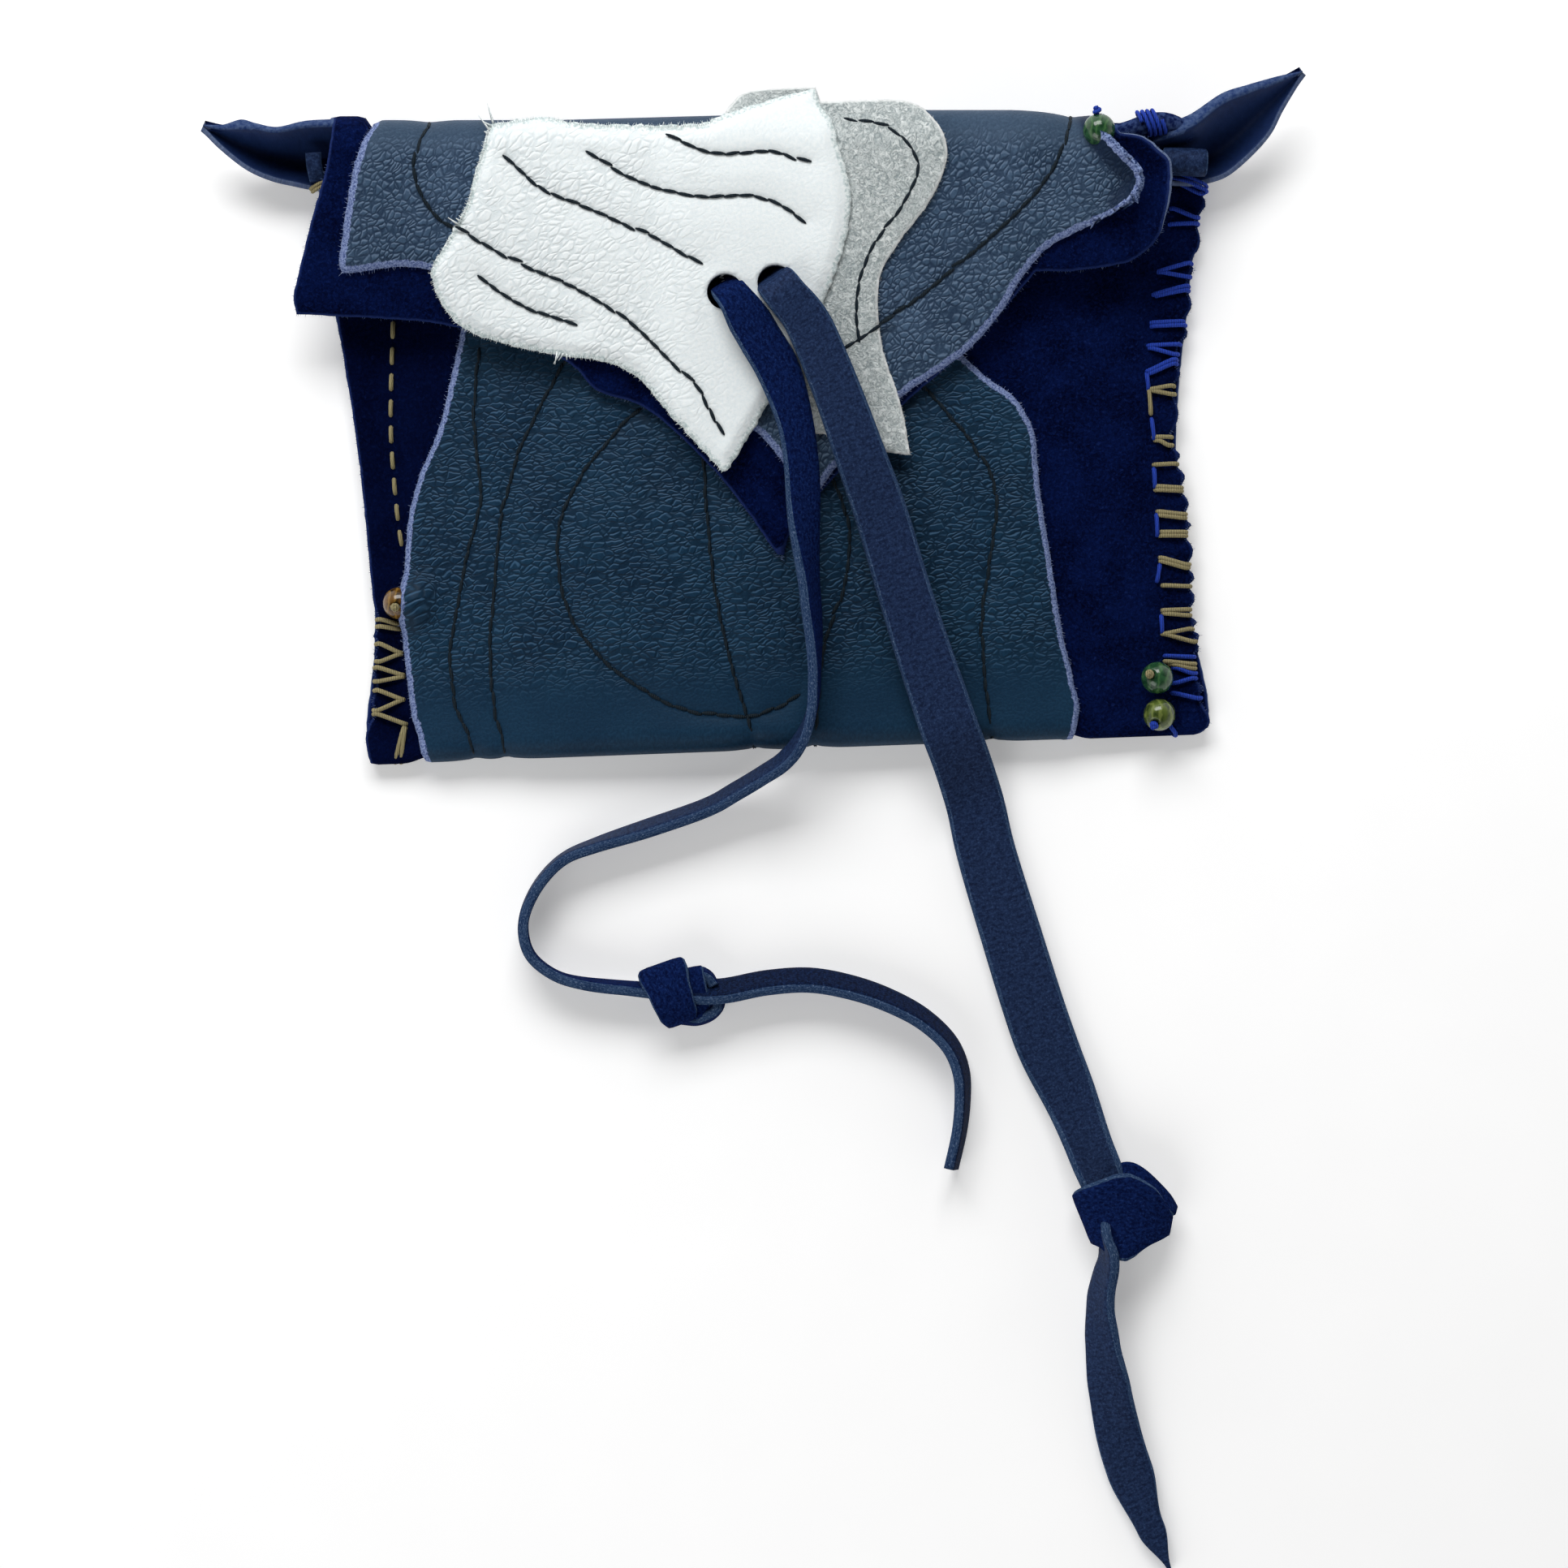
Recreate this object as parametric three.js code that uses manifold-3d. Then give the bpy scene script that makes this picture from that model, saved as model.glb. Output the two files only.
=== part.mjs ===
// A hand-sewn leather clutch, lying on its back with its flap closed. A suede sheet is folded into the
// pouch, a pebbled leather panel covers it, and the flap carries two patches, a lace and a bead.
// Millimetres, +Z up, +Y towards the top fold. The origin is on the table under the middle of the bag.
import * as THREE from "three";
import { mergeVertices } from "three/addons/utils/BufferGeometryUtils.js";
import Module from "manifold-3d";

const wasm = await Module();
wasm.setup();

// Hides and the room between their layers
const SUEDE = 1.4;
const LEATHER = 1.6;
const GREY_PATCH = 1.2;
const WHITE_PATCH = 1.4;
const GAP = 0.3;

// Top fold: the leather outside it has this radius, and its outermost line is the hinge
const FOLD_RADIUS = 11.5;
const FOLD_Y = 62.2;
const FOLD_SPLIT = 0.03;

// Pouch: the pocket between its side seams, its mouth and its bottom fold
const SEAM_LEFT = -88;
const SEAM_RIGHT = 98;
const SEAM_ROOM = 0.4;
const POCKET_ROOM = 9;
const BOTTOM_SHARE = 0.45;
const MOUTH_Y = 60;
const MOUTH_DIP = 7;
const BOTTOM_Y = -79.1;
const BOTTOM_SLANT = 0.0366;

// Flap: how far it takes to come down on the front, and the curl of its right corner
const FLAP_FALL = 80;
const FLAP_REST = 0.4;
const CURL_HEIGHT = 3.6;
const CURL_WIDTH = 11;

// Ears: the free upper corners of the back wall
const LEFT_EAR_TIP = new THREE.Vector3(-133.6, 71.5, 13);
const RIGHT_EAR_TIP = new THREE.Vector3(133.6, 83.9, 14);
const EAR_LOW_Y = 56;

// Lace, its two punched holes and its knots
const LACE = 2.6;
const HOLE_RADIUS = 4.8;
const LEFT_HOLE = new THREE.Vector2(-6.6, 29.5);
const RIGHT_HOLE = new THREE.Vector2(5.5, 31.6);
const KNOT_HALF_WIDTH = 6.4;
const KNOT_HALF_HEIGHT = 4.4;
const KNOT_BAND = 9;
const KNOT_PITCH = 10.5;

// Beads and hand-sewing thread
const BEAD_RADIUS = 3.9;
const BEAD_BORE = 1;
const THREAD_RADIUS = 0.6;
const THREAD_TURN = 0.9;
const NEEDLE_ROOM = 0.5;

// Middle of the suede on the back wall, and the radius of that middle round the top fold
const BACK_Z = LEATHER + GAP + SUEDE / 2;
const SUEDE_RADIUS = FOLD_RADIUS - BACK_Z;
// The leather's two faces, measured out from the middle of the suede
const LEATHER_IN = SUEDE / 2 + GAP;
const LEATHER_OUT = LEATHER_IN + LEATHER;

const { clamp, lerp, smoothstep } = THREE.MathUtils;

// A smooth graph through [place, value] stations.
function through(...stations) {
  const last = stations.length - 1;
  const slopes = stations.map((_, i) => {
    const before = stations[Math.max(i - 1, 0)];
    const after = stations[Math.min(i + 1, last)];
    return (after[1] - before[1]) / (after[0] - before[0]);
  });
  return (place) => {
    let i = 0;
    while (i < last - 1 && place > stations[i + 1][0]) i += 1;
    const [from, low] = stations[i];
    const [to, high] = stations[i + 1];
    const span = to - from;
    const f = clamp((place - from) / span, 0, 1);
    const rise = f * f * (3 - 2 * f);
    const bend = slopes[i] * f * (1 - f) ** 2 - slopes[i + 1] * f * f * (1 - f);
    return lerp(low, high, rise) + bend * span;
  };
}

const evenly = (count, from = 0, to = 1) =>
  Array.from({ length: count + 1 }, (_, i) => lerp(from, to, i / count));

// A closed geometry from points and triangles, with like points merged and empty triangles left out.
function closed(points, triangles) {
  const loose = new THREE.BufferGeometry().setFromPoints(points);
  loose.setIndex(triangles);
  const merged = mergeVertices(loose, 1e-3);
  const index = merged.getIndex().array;
  const kept = [];
  for (let i = 0; i < index.length; i += 3) {
    const [a, b, c] = index.slice(i, i + 3);
    if (a !== b && b !== c && c !== a) kept.push(a, b, c);
  }
  merged.setIndex(kept);
  return merged;
}

// Joins an inner and an outer grid of points into one closed sheet. Rows run along the sheet and
// columns across it; in a ring the last column joins the first.
function skin(inner, outer, ring = false) {
  const rows = outer.length;
  const columns = outer[0].length;
  const points = [...outer.flat(), ...inner.flat()];
  const triangles = [];
  const top = (row, column) => row * columns + (column % columns);
  const under = (row, column) => top(row, column) + rows * columns;
  const quad = (a, b, c, d) => triangles.push(a, b, c, a, c, d);
  const wide = ring ? columns : columns - 1;
  for (let r = 0; r < rows - 1; r += 1) {
    for (let c = 0; c < wide; c += 1) {
      quad(top(r, c), top(r + 1, c), top(r + 1, c + 1), top(r, c + 1));
      quad(under(r, c), under(r, c + 1), under(r + 1, c + 1), under(r + 1, c));
    }
    if (ring) continue;
    quad(top(r, 0), under(r, 0), under(r + 1, 0), top(r + 1, 0));
    quad(top(r, wide), top(r + 1, wide), under(r + 1, wide), under(r, wide));
  }
  for (let c = 0; c < wide; c += 1) {
    quad(top(0, c), top(0, c + 1), under(0, c + 1), under(0, c));
    quad(top(rows - 1, c), under(rows - 1, c), under(rows - 1, c + 1), top(rows - 1, c + 1));
  }
  return closed(points, triangles);
}

// A point of a surface moved out along the surface's own normal.
const STEP = 0.01;
function outside(surface, [u, v], distance) {
  const alongU = surface(u + STEP, v).sub(surface(u - STEP, v));
  const alongV = surface(u, v + STEP).sub(surface(u, v - STEP));
  return surface(u, v).addScaledVector(alongV.cross(alongU).normalize(), distance);
}

// A sheet between two distances from a surface, over a grid of places on it.
function sheet(surface, places, from, to, ring = false) {
  const face = (distance) => places.map((row) => row.map((place) => outside(surface, place, distance)));
  return skin(face(from), face(to), ring);
}

// Booleans on closed geometries
function solid(geometry) {
  const plain = geometry.clone();
  plain.deleteAttribute("normal");
  plain.deleteAttribute("uv");
  const merged = mergeVertices(plain, 1e-4);
  const vertProperties = new Float32Array(merged.getAttribute("position").array);
  const triVerts = new Uint32Array(merged.getIndex().array);
  return new wasm.Manifold(new wasm.Mesh({ numProp: 3, vertProperties, triVerts }));
}

function geometryOf(body) {
  const { vertProperties, triVerts } = body.getMesh();
  const geometry = new THREE.BufferGeometry();
  geometry.setAttribute("position", new THREE.BufferAttribute(vertProperties, 3));
  geometry.setIndex(new THREE.BufferAttribute(triVerts, 1));
  return geometry;
}

function upright(radius, height, sides, x, y, z) {
  const post = new THREE.CylinderGeometry(radius, radius, height, sides);
  post.rotateX(Math.PI / 2);
  post.translate(x, y, z);
  return post;
}

const cut = (geometry, cutters) =>
  geometryOf(cutters.reduce((body, cutter) => body.subtract(solid(cutter)), solid(geometry)));

const join = (...geometries) =>
  geometryOf(geometries.map(solid).reduce((body, other) => body.add(other)));

// The pouch's form. The pocket is fullest in its middle and closes at the side seams.
const fullness = (x) => {
  const across = clamp((x - SEAM_LEFT) / (SEAM_RIGHT - SEAM_LEFT), 0, 1);
  return 1 - Math.abs(2 * across - 1) ** 2.5;
};
const bottomRadius = (x) => (SUEDE + SEAM_ROOM + POCKET_ROOM * BOTTOM_SHARE * fullness(x)) / 2;
const bottomY = (x) => BOTTOM_Y + BOTTOM_SLANT * x + bottomRadius(x) + SUEDE / 2;
const mouthY = (x) => MOUTH_Y - MOUTH_DIP * fullness(x);

function pocketRoom(x, y) {
  const up = (y - bottomY(x)) / (MOUTH_Y - bottomY(x));
  const rise = lerp(BOTTOM_SHARE, 1, smoothstep(up, 0, 0.4));
  return SEAM_ROOM + POCKET_ROOM * fullness(x) * rise;
}

// Middle of the folded suede. Along the sheet, 0 is the mouth, 1 to 2 the bottom fold, 3 the start
// of the top fold and 4 its outermost line.
function pouch(x, along) {
  const bottom = bottomY(x);
  if (along < 1) {
    const y = lerp(mouthY(x), bottom, along);
    return new THREE.Vector3(x, y, BACK_Z + SUEDE + pocketRoom(x, y));
  }
  if (along < 2) {
    const radius = bottomRadius(x);
    const turn = (along - 1) * Math.PI;
    return new THREE.Vector3(x, bottom - radius * Math.sin(turn), BACK_Z + radius * (1 + Math.cos(turn)));
  }
  if (along < 3) return new THREE.Vector3(x, lerp(bottom, FOLD_Y, along - 2), BACK_Z);
  const turn = (along - 3) * Math.PI / 2;
  return new THREE.Vector3(
    x,
    FOLD_Y + SUEDE_RADIUS * Math.sin(turn),
    FOLD_RADIUS - SUEDE_RADIUS * Math.cos(turn),
  );
}

const FOLD_END = 4 - FOLD_SPLIT;
const alongPouch = [
  ...evenly(10, 0, 0.91),
  ...evenly(8, 1, 2),
  ...evenly(6, 2.1, 2.9),
  ...evenly(4, 3, FOLD_END),
];

// Side edges of the suede, by height up the bag, and by the way along the sheet past the fold
const suedeLeftEdge = through(
  [-84, -94.2], [-62, -92.7], [-43, -93.3], [-24, -95.1], [0, -97.9], [26, -102.2], [60, -107.2],
);
const suedeRightEdge = through(
  [-76, 112.6], [-60, 108.3], [-47, 107.1], [-24, 106], [0, 103.1], [21, 105.3], [45, 109.5], [62, 111.9],
);
const foldLeftEdge = through([2.9, -106.8], [3.2, -106.6], [4, -102.4]);
const foldRightEdge = through([2.9, 110.8], [3.2, 109.6], [4, 98]);

function suedeEdges(along) {
  if (along >= 2.9) return [foldLeftEdge(along), foldRightEdge(along)];
  return [suedeLeftEdge(pouch(SEAM_LEFT, along).y), suedeRightEdge(pouch(SEAM_RIGHT, along).y)];
}

// Places on the folded suede: a margin, then the pocket between the two seams, then the other margin
const acrossPocket = [0, 0.04, 0.1, 0.2, 0.34, 0.5, 0.66, 0.8, 0.9, 0.96, 1];
const LEAST_MARGIN = 3;
const suedePlaces = alongPouch.map((along) => {
  const [left, right] = suedeEdges(along);
  const from = Math.max(SEAM_LEFT, left + LEAST_MARGIN);
  const to = Math.min(SEAM_RIGHT, right - LEAST_MARGIN);
  return [left, ...acrossPocket.map((across) => lerp(from, to, across)), right].map((x) => [x, along]);
});

// An ear carries on the curve of the back wall and the fold sideways, and narrows to its tip. Its
// first row lies inside the wall that it grows out of.
function ear(tip, edge, inward, bulge) {
  const low = 2 + (EAR_LOW_Y - bottomY(tip.x)) / (FOLD_Y - bottomY(tip.x));
  const across = [low, ...evenly(4, 3, FOLD_END)];
  const reach = [0, 0.18, 0.36, 0.54, 0.72, 0.88, 0.97];
  const middle = (share, along) => {
    const point = pouch(edge(along), along).lerp(tip, share);
    const lower = clamp((FOLD_END - along) / (FOLD_END - low), 0, 1) ** 2;
    const round = Math.sin(Math.PI * share) * lower;
    return point.addScaledVector(bulge, round);
  };
  const body = reach.map((share) => across.map((along) => middle(share, along)));
  const root = across.map((along) => pouch(edge(along) + inward, along));
  const grid = [root, ...body];
  const face = (distance) =>
    grid.map((row, r) =>
      row.map((point, c) => {
        const nearer = grid[Math.max(r - 1, 0)][c];
        const further = grid[Math.min(r + 1, grid.length - 1)][c];
        const alongReach = further.clone().sub(nearer);
        const alongSheet = row[Math.min(c + 1, row.length - 1)].clone().sub(row[Math.max(c - 1, 0)]);
        const normal = alongReach.cross(alongSheet).normalize();
        return point.clone().addScaledVector(normal, distance);
      }),
    );
  return skin(face(-SUEDE / 2), face(SUEDE / 2));
}

// Whip stitches: the thread comes up through a hole, crosses the front, goes round the edge and
// under the back to the next hole.
const SEAM_BACK = BACK_Z - SUEDE / 2 - GAP - THREAD_RADIUS;
const SEAM_FRONT = BACK_Z + SUEDE * 1.5 + SEAM_ROOM + GAP + THREAD_RADIUS;

function whip(ups, holeX, edge) {
  const side = Math.sign(holeX);
  const points = [];
  ups.forEach((y, i) => {
    const next = ups[i + 1] ?? y - 4;
    const turnY = lerp(y, next, 0.35);
    const around = edge(turnY) + side * (3 * GAP + THREAD_RADIUS);
    const near = around - side * THREAD_TURN;
    points.push(new THREE.Vector3(holeX, y, SEAM_BACK), new THREE.Vector3(holeX, y, SEAM_FRONT));
    points.push(new THREE.Vector3(near, turnY, SEAM_FRONT));
    points.push(new THREE.Vector3(around, turnY, SEAM_FRONT - THREAD_TURN));
    points.push(new THREE.Vector3(around, turnY, SEAM_BACK + THREAD_TURN));
    points.push(new THREE.Vector3(near, turnY, SEAM_BACK));
  });
  return points;
}

// A thread of even thickness along straight runs, mitred where they meet.
function thread(points, radius, sides = 5) {
  const last = points.length - 1;
  const runs = points.slice(1).map((point, i) => point.clone().sub(points[i]).normalize());
  let sideways = new THREE.Vector3(0, 1, 0.2).projectOnPlane(runs[0]).normalize();
  const around = [];
  points.forEach((point, i) => {
    const run = runs[Math.max(i - 1, 0)];
    const next = runs[Math.min(i, last - 1)];
    const mitre = run.clone().add(next).normalize();
    const ring = evenly(sides, 0, 2 * Math.PI).slice(0, sides).map((turn) => {
      const spoke = sideways.clone().applyAxisAngle(run, turn).multiplyScalar(radius);
      return spoke.addScaledVector(run, -spoke.dot(mitre) / run.dot(mitre)).add(point);
    });
    around.push(ring);
    sideways = sideways.clone().projectOnPlane(next).normalize();
  });
  const triangles = [];
  const flat = [...around.flat(), points[0], points[last]];
  const at = (i, k) => i * sides + (k % sides);
  for (let k = 0; k < sides; k += 1) {
    for (let i = 0; i < last; i += 1) {
      triangles.push(at(i, k), at(i, k + 1), at(i + 1, k + 1), at(i, k), at(i + 1, k + 1), at(i + 1, k));
    }
    triangles.push(flat.length - 2, at(0, k + 1), at(0, k));
    triangles.push(flat.length - 1, at(last, k), at(last, k + 1));
  }
  return closed(flat, triangles);
}

const RIGHT_HOLES_X = 98.4;
const LEFT_HOLES_X = -87.4;
const upperBlueUps = evenly(6, 51.5, 13);
const tanUps = evenly(10, 7.5, -52);
const lowerBlueUps = [-57.5, -67.7];
const leftTanUps = evenly(4, -50.5, -75);
const rightSeam = (ups) => thread(whip(ups, RIGHT_HOLES_X, suedeRightEdge), THREAD_RADIUS);
const leftSeam = (ups) => thread(whip(ups, LEFT_HOLES_X, suedeLeftEdge), THREAD_RADIUS);
const needleHoles = [
  ...[...upperBlueUps, ...tanUps, ...lowerBlueUps].map((y) => [RIGHT_HOLES_X, y]),
  ...leftTanUps.map((y) => [LEFT_HOLES_X, y]),
].map(([x, y]) => upright(THREAD_RADIUS + NEEDLE_ROOM, 12, 5, x, y, 5));

const pouchSheet = sheet(pouch, suedePlaces, -SUEDE / 2, SUEDE / 2);
const pouchSuede = cut(
  join(
    pouchSheet,
    ear(LEFT_EAR_TIP, foldLeftEdge, 4, new THREE.Vector3(-1, -4, 5)),
    ear(RIGHT_EAR_TIP, foldRightEdge, -4, new THREE.Vector3(4, -4, 5)),
  ),
  needleHoles,
);

// Leather panel: it starts under the flap, covers the front, wraps the bottom and goes up the back.
const PANEL_START = 0.14;
const panelLeftEdge = through(
  [0.14, -67.5], [0.28, -70.8], [0.38, -73.7], [0.46, -76.5], [0.55, -81.4], [0.62, -83.8], [0.73, -85],
  [0.81, -85.4], [0.9, -84.4], [1, -82.6], [1.5, -80.8], [2.3, -80], [2.7, -86], [3, -91], [4, -92.4],
);
const panelRightEdge = through(
  [0.14, 26], [0.33, 51.4], [0.37, 57.3], [0.4, 62.7], [0.43, 66.2], [0.47, 68.6], [0.56, 69.6],
  [0.675, 72.1], [0.81, 75.3], [0.93, 78.7], [1, 79.6], [1.5, 78.9], [2.3, 78], [2.7, 82], [3, 84],
  [4, 83.5],
);
const alongPanel = [
  ...evenly(3, PANEL_START, 0.32),
  ...evenly(3, 0.37, 0.47),
  ...evenly(4, 0.56, 0.92),
  ...evenly(8, 1, 2),
  ...evenly(4, 2.25, 2.85),
  ...evenly(4, 3, FOLD_END),
];
const acrossPanel = [0, 0.06, 0.16, 0.3, 0.5, 0.7, 0.84, 0.94, 1];
const panelPlaces = alongPanel.map((along) =>
  acrossPanel.map((across) => [lerp(panelLeftEdge(along), panelRightEdge(along), across), along]),
);
const pouchLeather = sheet(pouch, panelPlaces, LEATHER_IN, LEATHER_OUT);

// The flap's form: level behind the fold, then down on to the front, with a curl at its right corner.
function curl(x, y) {
  const crest = 86 + (FOLD_Y + 8 - y) * 0.62;
  const off = clamp((x - crest) / CURL_WIDTH, -1, 1);
  const grown = smoothstep(FOLD_Y - y, -6, 8) * (1 - smoothstep(FOLD_Y - y, 18, 40));
  return CURL_HEIGHT * (1 - off * off) ** 2 * grown;
}

function flapHeight(x, y) {
  const level = 2 * FOLD_RADIUS - BACK_Z;
  const front = BACK_Z + SUEDE + pocketRoom(x, y) + LEATHER_OUT;
  const resting = front + FLAP_REST + SUEDE / 2;
  return lerp(level, resting, smoothstep(FOLD_Y - y, 0, FLAP_FALL)) + curl(x, y);
}

// Middle of the flap's suede. Down the flap, less than 0 is round the fold and more is along the front.
function flap(x, down) {
  if (down >= 0) return new THREE.Vector3(x, FOLD_Y - down, flapHeight(x, FOLD_Y - down));
  const turn = -down / SUEDE_RADIUS;
  const lift = curl(x, FOLD_Y + SUEDE_RADIUS * Math.sin(turn));
  return new THREE.Vector3(
    x,
    FOLD_Y + SUEDE_RADIUS * Math.sin(turn),
    FOLD_RADIUS + SUEDE_RADIUS * Math.cos(turn) + lift,
  );
}

const FOLD_LENGTH = SUEDE_RADIUS * (Math.PI / 2) * (1 - FOLD_SPLIT);
const foldRows = evenly(3, -FOLD_LENGTH, 0).slice(0, 3);
const downShares = [0, 0.12, 0.26, 0.44, 0.7, 1];

// Places on the flap between its straight top line and its lower edge.
function curtain(topLeft, topRight, edge) {
  const left = edge[0].x;
  const width = edge.at(-1).x - left;
  const top = edge.map(({ x }) => lerp(topLeft, topRight, (x - left) / width));
  const fold = foldRows.map((down) => top.map((x) => [x, down]));
  const front = downShares.map((share) =>
    edge.map(({ x, y }, i) => [lerp(top[i], x, share), share * (FOLD_Y - y)]),
  );
  return [...fold, ...front];
}

const pair = (list) => list.map(([x, y]) => new THREE.Vector2(x, y));
const liningEdge = new THREE.Path()
  .moveTo(-110.8, 25)
  .splineThru(pair([[-86.3, 23.8], [-71.5, 21.7], [-46.6, 14.2]]))
  .splineThru(pair([[-37.8, 6.4], [-25, 1.4], [-8.1, -14.5]]))
  .lineTo(7.2, -35.1)
  .lineTo(14.3, -21.1)
  .splineThru(pair([[35.9, 2.4], [53.6, 18.1], [68.7, 35.2]]))
  .splineThru(pair([[78, 35], [86.9, 36.4], [98.1, 42.3], [101.1, 53.5]]))
  .getPoints(2);
const flapLeatherEdge = new THREE.Path()
  .moveTo(-99.4, 34.8)
  .lineTo(-77.9, 35.6)
  .splineThru(pair([[-44.5, 21.8], [-17.1, 9.1], [0.3, -3.4]]))
  .lineTo(14.3, -20.9)
  .splineThru(pair([[21.3, -11.1], [35.2, 4], [51.1, 15.2], [59.9, 25.2], [68.8, 38.1]]))
  .splineThru(pair([[78.7, 45.6], [88, 48.5], [93.4, 54.4]]))
  .getPoints(2);

const laceHoles = [LEFT_HOLE, RIGHT_HOLE].map(({ x, y }) => upright(HOLE_RADIUS, 20, 16, x, y, 22));
const halfSuede = SUEDE / 2;
const flapSuede = cut(sheet(flap, curtain(-101.6, 94, liningEdge), -halfSuede, halfSuede), laceHoles);
const flapLeather = cut(
  sheet(flap, curtain(-92.4, 83.5, flapLeatherEdge), LEATHER_IN, LEATHER_OUT),
  laceHoles,
);

// Patches lie on the flap and run straight on past the fold, over the bag's top edge.
const patchBed = (x, down) =>
  new THREE.Vector3(x, FOLD_Y - down, flapHeight(x, Math.min(FOLD_Y - down, FOLD_Y)));

function patch(centre, edge, from, to, surface = patchBed) {
  const rings = [0, 0.4, 0.75, 1];
  const places = rings.map((share) =>
    edge.map(({ x, y }) => [lerp(centre[0], x, share), FOLD_Y - lerp(centre[1], y, share)]),
  );
  return cut(sheet(surface, places, from, to, true), laceHoles);
}

const greyEdge = new THREE.Path()
  .moveTo(15.2, 78.3)
  .splineThru(pair([[1.5, 77.4], [-4.3, 74.1], [-8.2, 66], [-9, 48.9], [-5.3, 21.5], [4.3, 2.7]]))
  .splineThru(pair([[13.9, -3.7], [18.5, -4.9], [29.5, -8.4], [37.9, -9.6]]))
  .splineThru(pair([[35.7, 2.5], [31, 17.8], [30.5, 32.4], [35.2, 41.2], [43.4, 52.4], [46.9, 62.9]]))
  .splineThru(pair([[43.4, 70], [35.7, 74.1], [16.4, 73.5]]))
  .lineTo(15.2, 78.3)
  .getPoints(1);
const whiteEdge = new THREE.Path()
  .moveTo(-63.4, 68.3)
  .splineThru(pair([[-66.3, 59.5], [-69, 50.1], [-73.9, 41.4], [-77.4, 33.8], [-71, 22.6], [-58.7, 17.4]]))
  .splineThru(pair([[-44.7, 14.4], [-33.5, 12.5], [-24.8, 6.6], [-15, -5.1], [-7.4, -13.8]]))
  .splineThru(pair([[-0.4, -4.5], [4.3, 3.7], [16.6, 26.1], [21.6, 39.2], [23.4, 50], [19.9, 66.7]]))
  .lineTo(15.2, 77.5)
  .splineThru(pair([[-9, 69.6], [-14.2, 68.3], [-38.8, 68.5], [-63.4, 68.3]]))
  .getPoints(1);
const PATCH_IN = LEATHER_OUT + GAP;
const WHITE_STEP = GREY_PATCH + GAP;

// The white patch steps up where it passes on to the grey one.
function whiteBed(x, down) {
  const point = patchBed(x, down);
  point.z += WHITE_STEP * smoothstep(x, -26, -14);
  return point;
}

const outline = (edge) => edge.slice(0, -1);
const greyPatch = patch([14, 36], outline(greyEdge), PATCH_IN, PATCH_IN + GREY_PATCH);
const whitePatch = patch([-22, 38], outline(whiteEdge), PATCH_IN, PATCH_IN + WHITE_PATCH, whiteBed);

// Lace ends: a flat strip along a route. Its width and its roll, in degrees from lying flat, go by
// the share of the route.
const LEFT_ROUTE = [
  [-7.4, 30.6, 18.6], [-6.8, 29.6, 22.8], [-5.6, 27.6, 26.8], [-4, 24.8, 27.8], [0.6, 17.1, 26.9],
  [6, 9.4, 25.9], [10.3, -2.2, 25], [11.9, -13.8, 24.2], [12.5, -27.3, 22.6], [13.9, -42.9, 20.4],
  [14.9, -54.6, 18.8], [14.9, -66.3, 17.4], [13.9, -73, 16.8], [11.3, -79.1, 15.6], [7.5, -83.5, 13.2],
  [2.5, -86.9, 10.4], [-4, -90.8, 7.8], [-11.5, -94.9, 6], [-25.4, -99.8, 5.3], [-38.3, -104, 5.3],
  [-46.3, -107.4, 5.3], [-52.1, -113.2, 5.3], [-55.7, -120.3, 5.3], [-56.2, -126.3, 5.3],
  [-54.1, -131.7, 5.3], [-48.5, -136, 5.3], [-41.3, -138, 5.4], [-29.6, -139.2, 5.8],
  [-18.6, -140, 6.2], [-7.5, -139.8, 5.9], [3.4, -137.8, 5.4], [14.4, -137.2, 5.3],
  [25.7, -139.4, 5.3], [35.2, -143, 5.3], [42.4, -147.2, 5.3], [48.2, -152.9, 5.3],
  [51, -159.5, 5.3], [51.4, -166.5, 5.3], [50.6, -174.4, 5.3], [48.6, -183.4, 5.3],
];
const RIGHT_ROUTE = [
  [4.9, 32.4, 18.6], [5.4, 31.7, 22.5], [6.6, 30.1, 27.4], [8.6, 27.6, 28.1], [13.6, 21, 26.8],
  [20.1, 5.9, 25.2], [26.1, -10.4, 23], [31.1, -24.1, 19.6], [35.9, -39.8, 17], [40.2, -53.3, 14.9],
  [45.4, -68.6, 13.2], [48, -76, 12.4], [50.4, -82, 9.4], [52.6, -88, 5.4], [54.8, -95, 2.6],
  [57.3, -105.9, 1.8], [62.7, -123.8, 1.7], [71.1, -150.2, 1.7], [78.1, -166.6, 2], [82.8, -179, 3.6],
  [87.6, -187, 5.4], [89.6, -194.1, 6], [89.1, -201, 6], [87, -207.5, 5.4], [85.6, -214, 4.7],
  [85.5, -221, 4.6], [86.1, -229, 4.4], [88.2, -241.1, 3.6], [90.4, -251, 2.6], [93.4, -260.2, 1.9],
  [96.9, -270, 1.7], [102.6, -282.6, 1.7],
];
const leftWidth = through(
  [0, 7], [0.05, 8.4], [0.14, 9], [0.6, 9], [0.67, 6.2], [0.75, 6.2], [0.81, 9], [1, 8],
);
const leftRoll = through(
  [0, 0], [0.08, 4], [0.16, 30], [0.24, 72], [0.34, 78], [0.58, 76], [0.66, 6], [0.75, 6], [0.82, 74],
  [1, 78],
);
const rightWidth = through(
  [0, 7], [0.04, 8.6], [0.1, 10], [0.3, 12.5], [0.5, 14], [0.6, 12], [0.68, 6.2], [0.77, 6], [0.86, 11],
  [1, 2.4],
);
const rightRoll = through([0, 0], [0.7, 0], [0.77, 2], [0.81, 40], [0.87, 12], [1, 0]);
const LACE_STEPS = 64;

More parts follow.
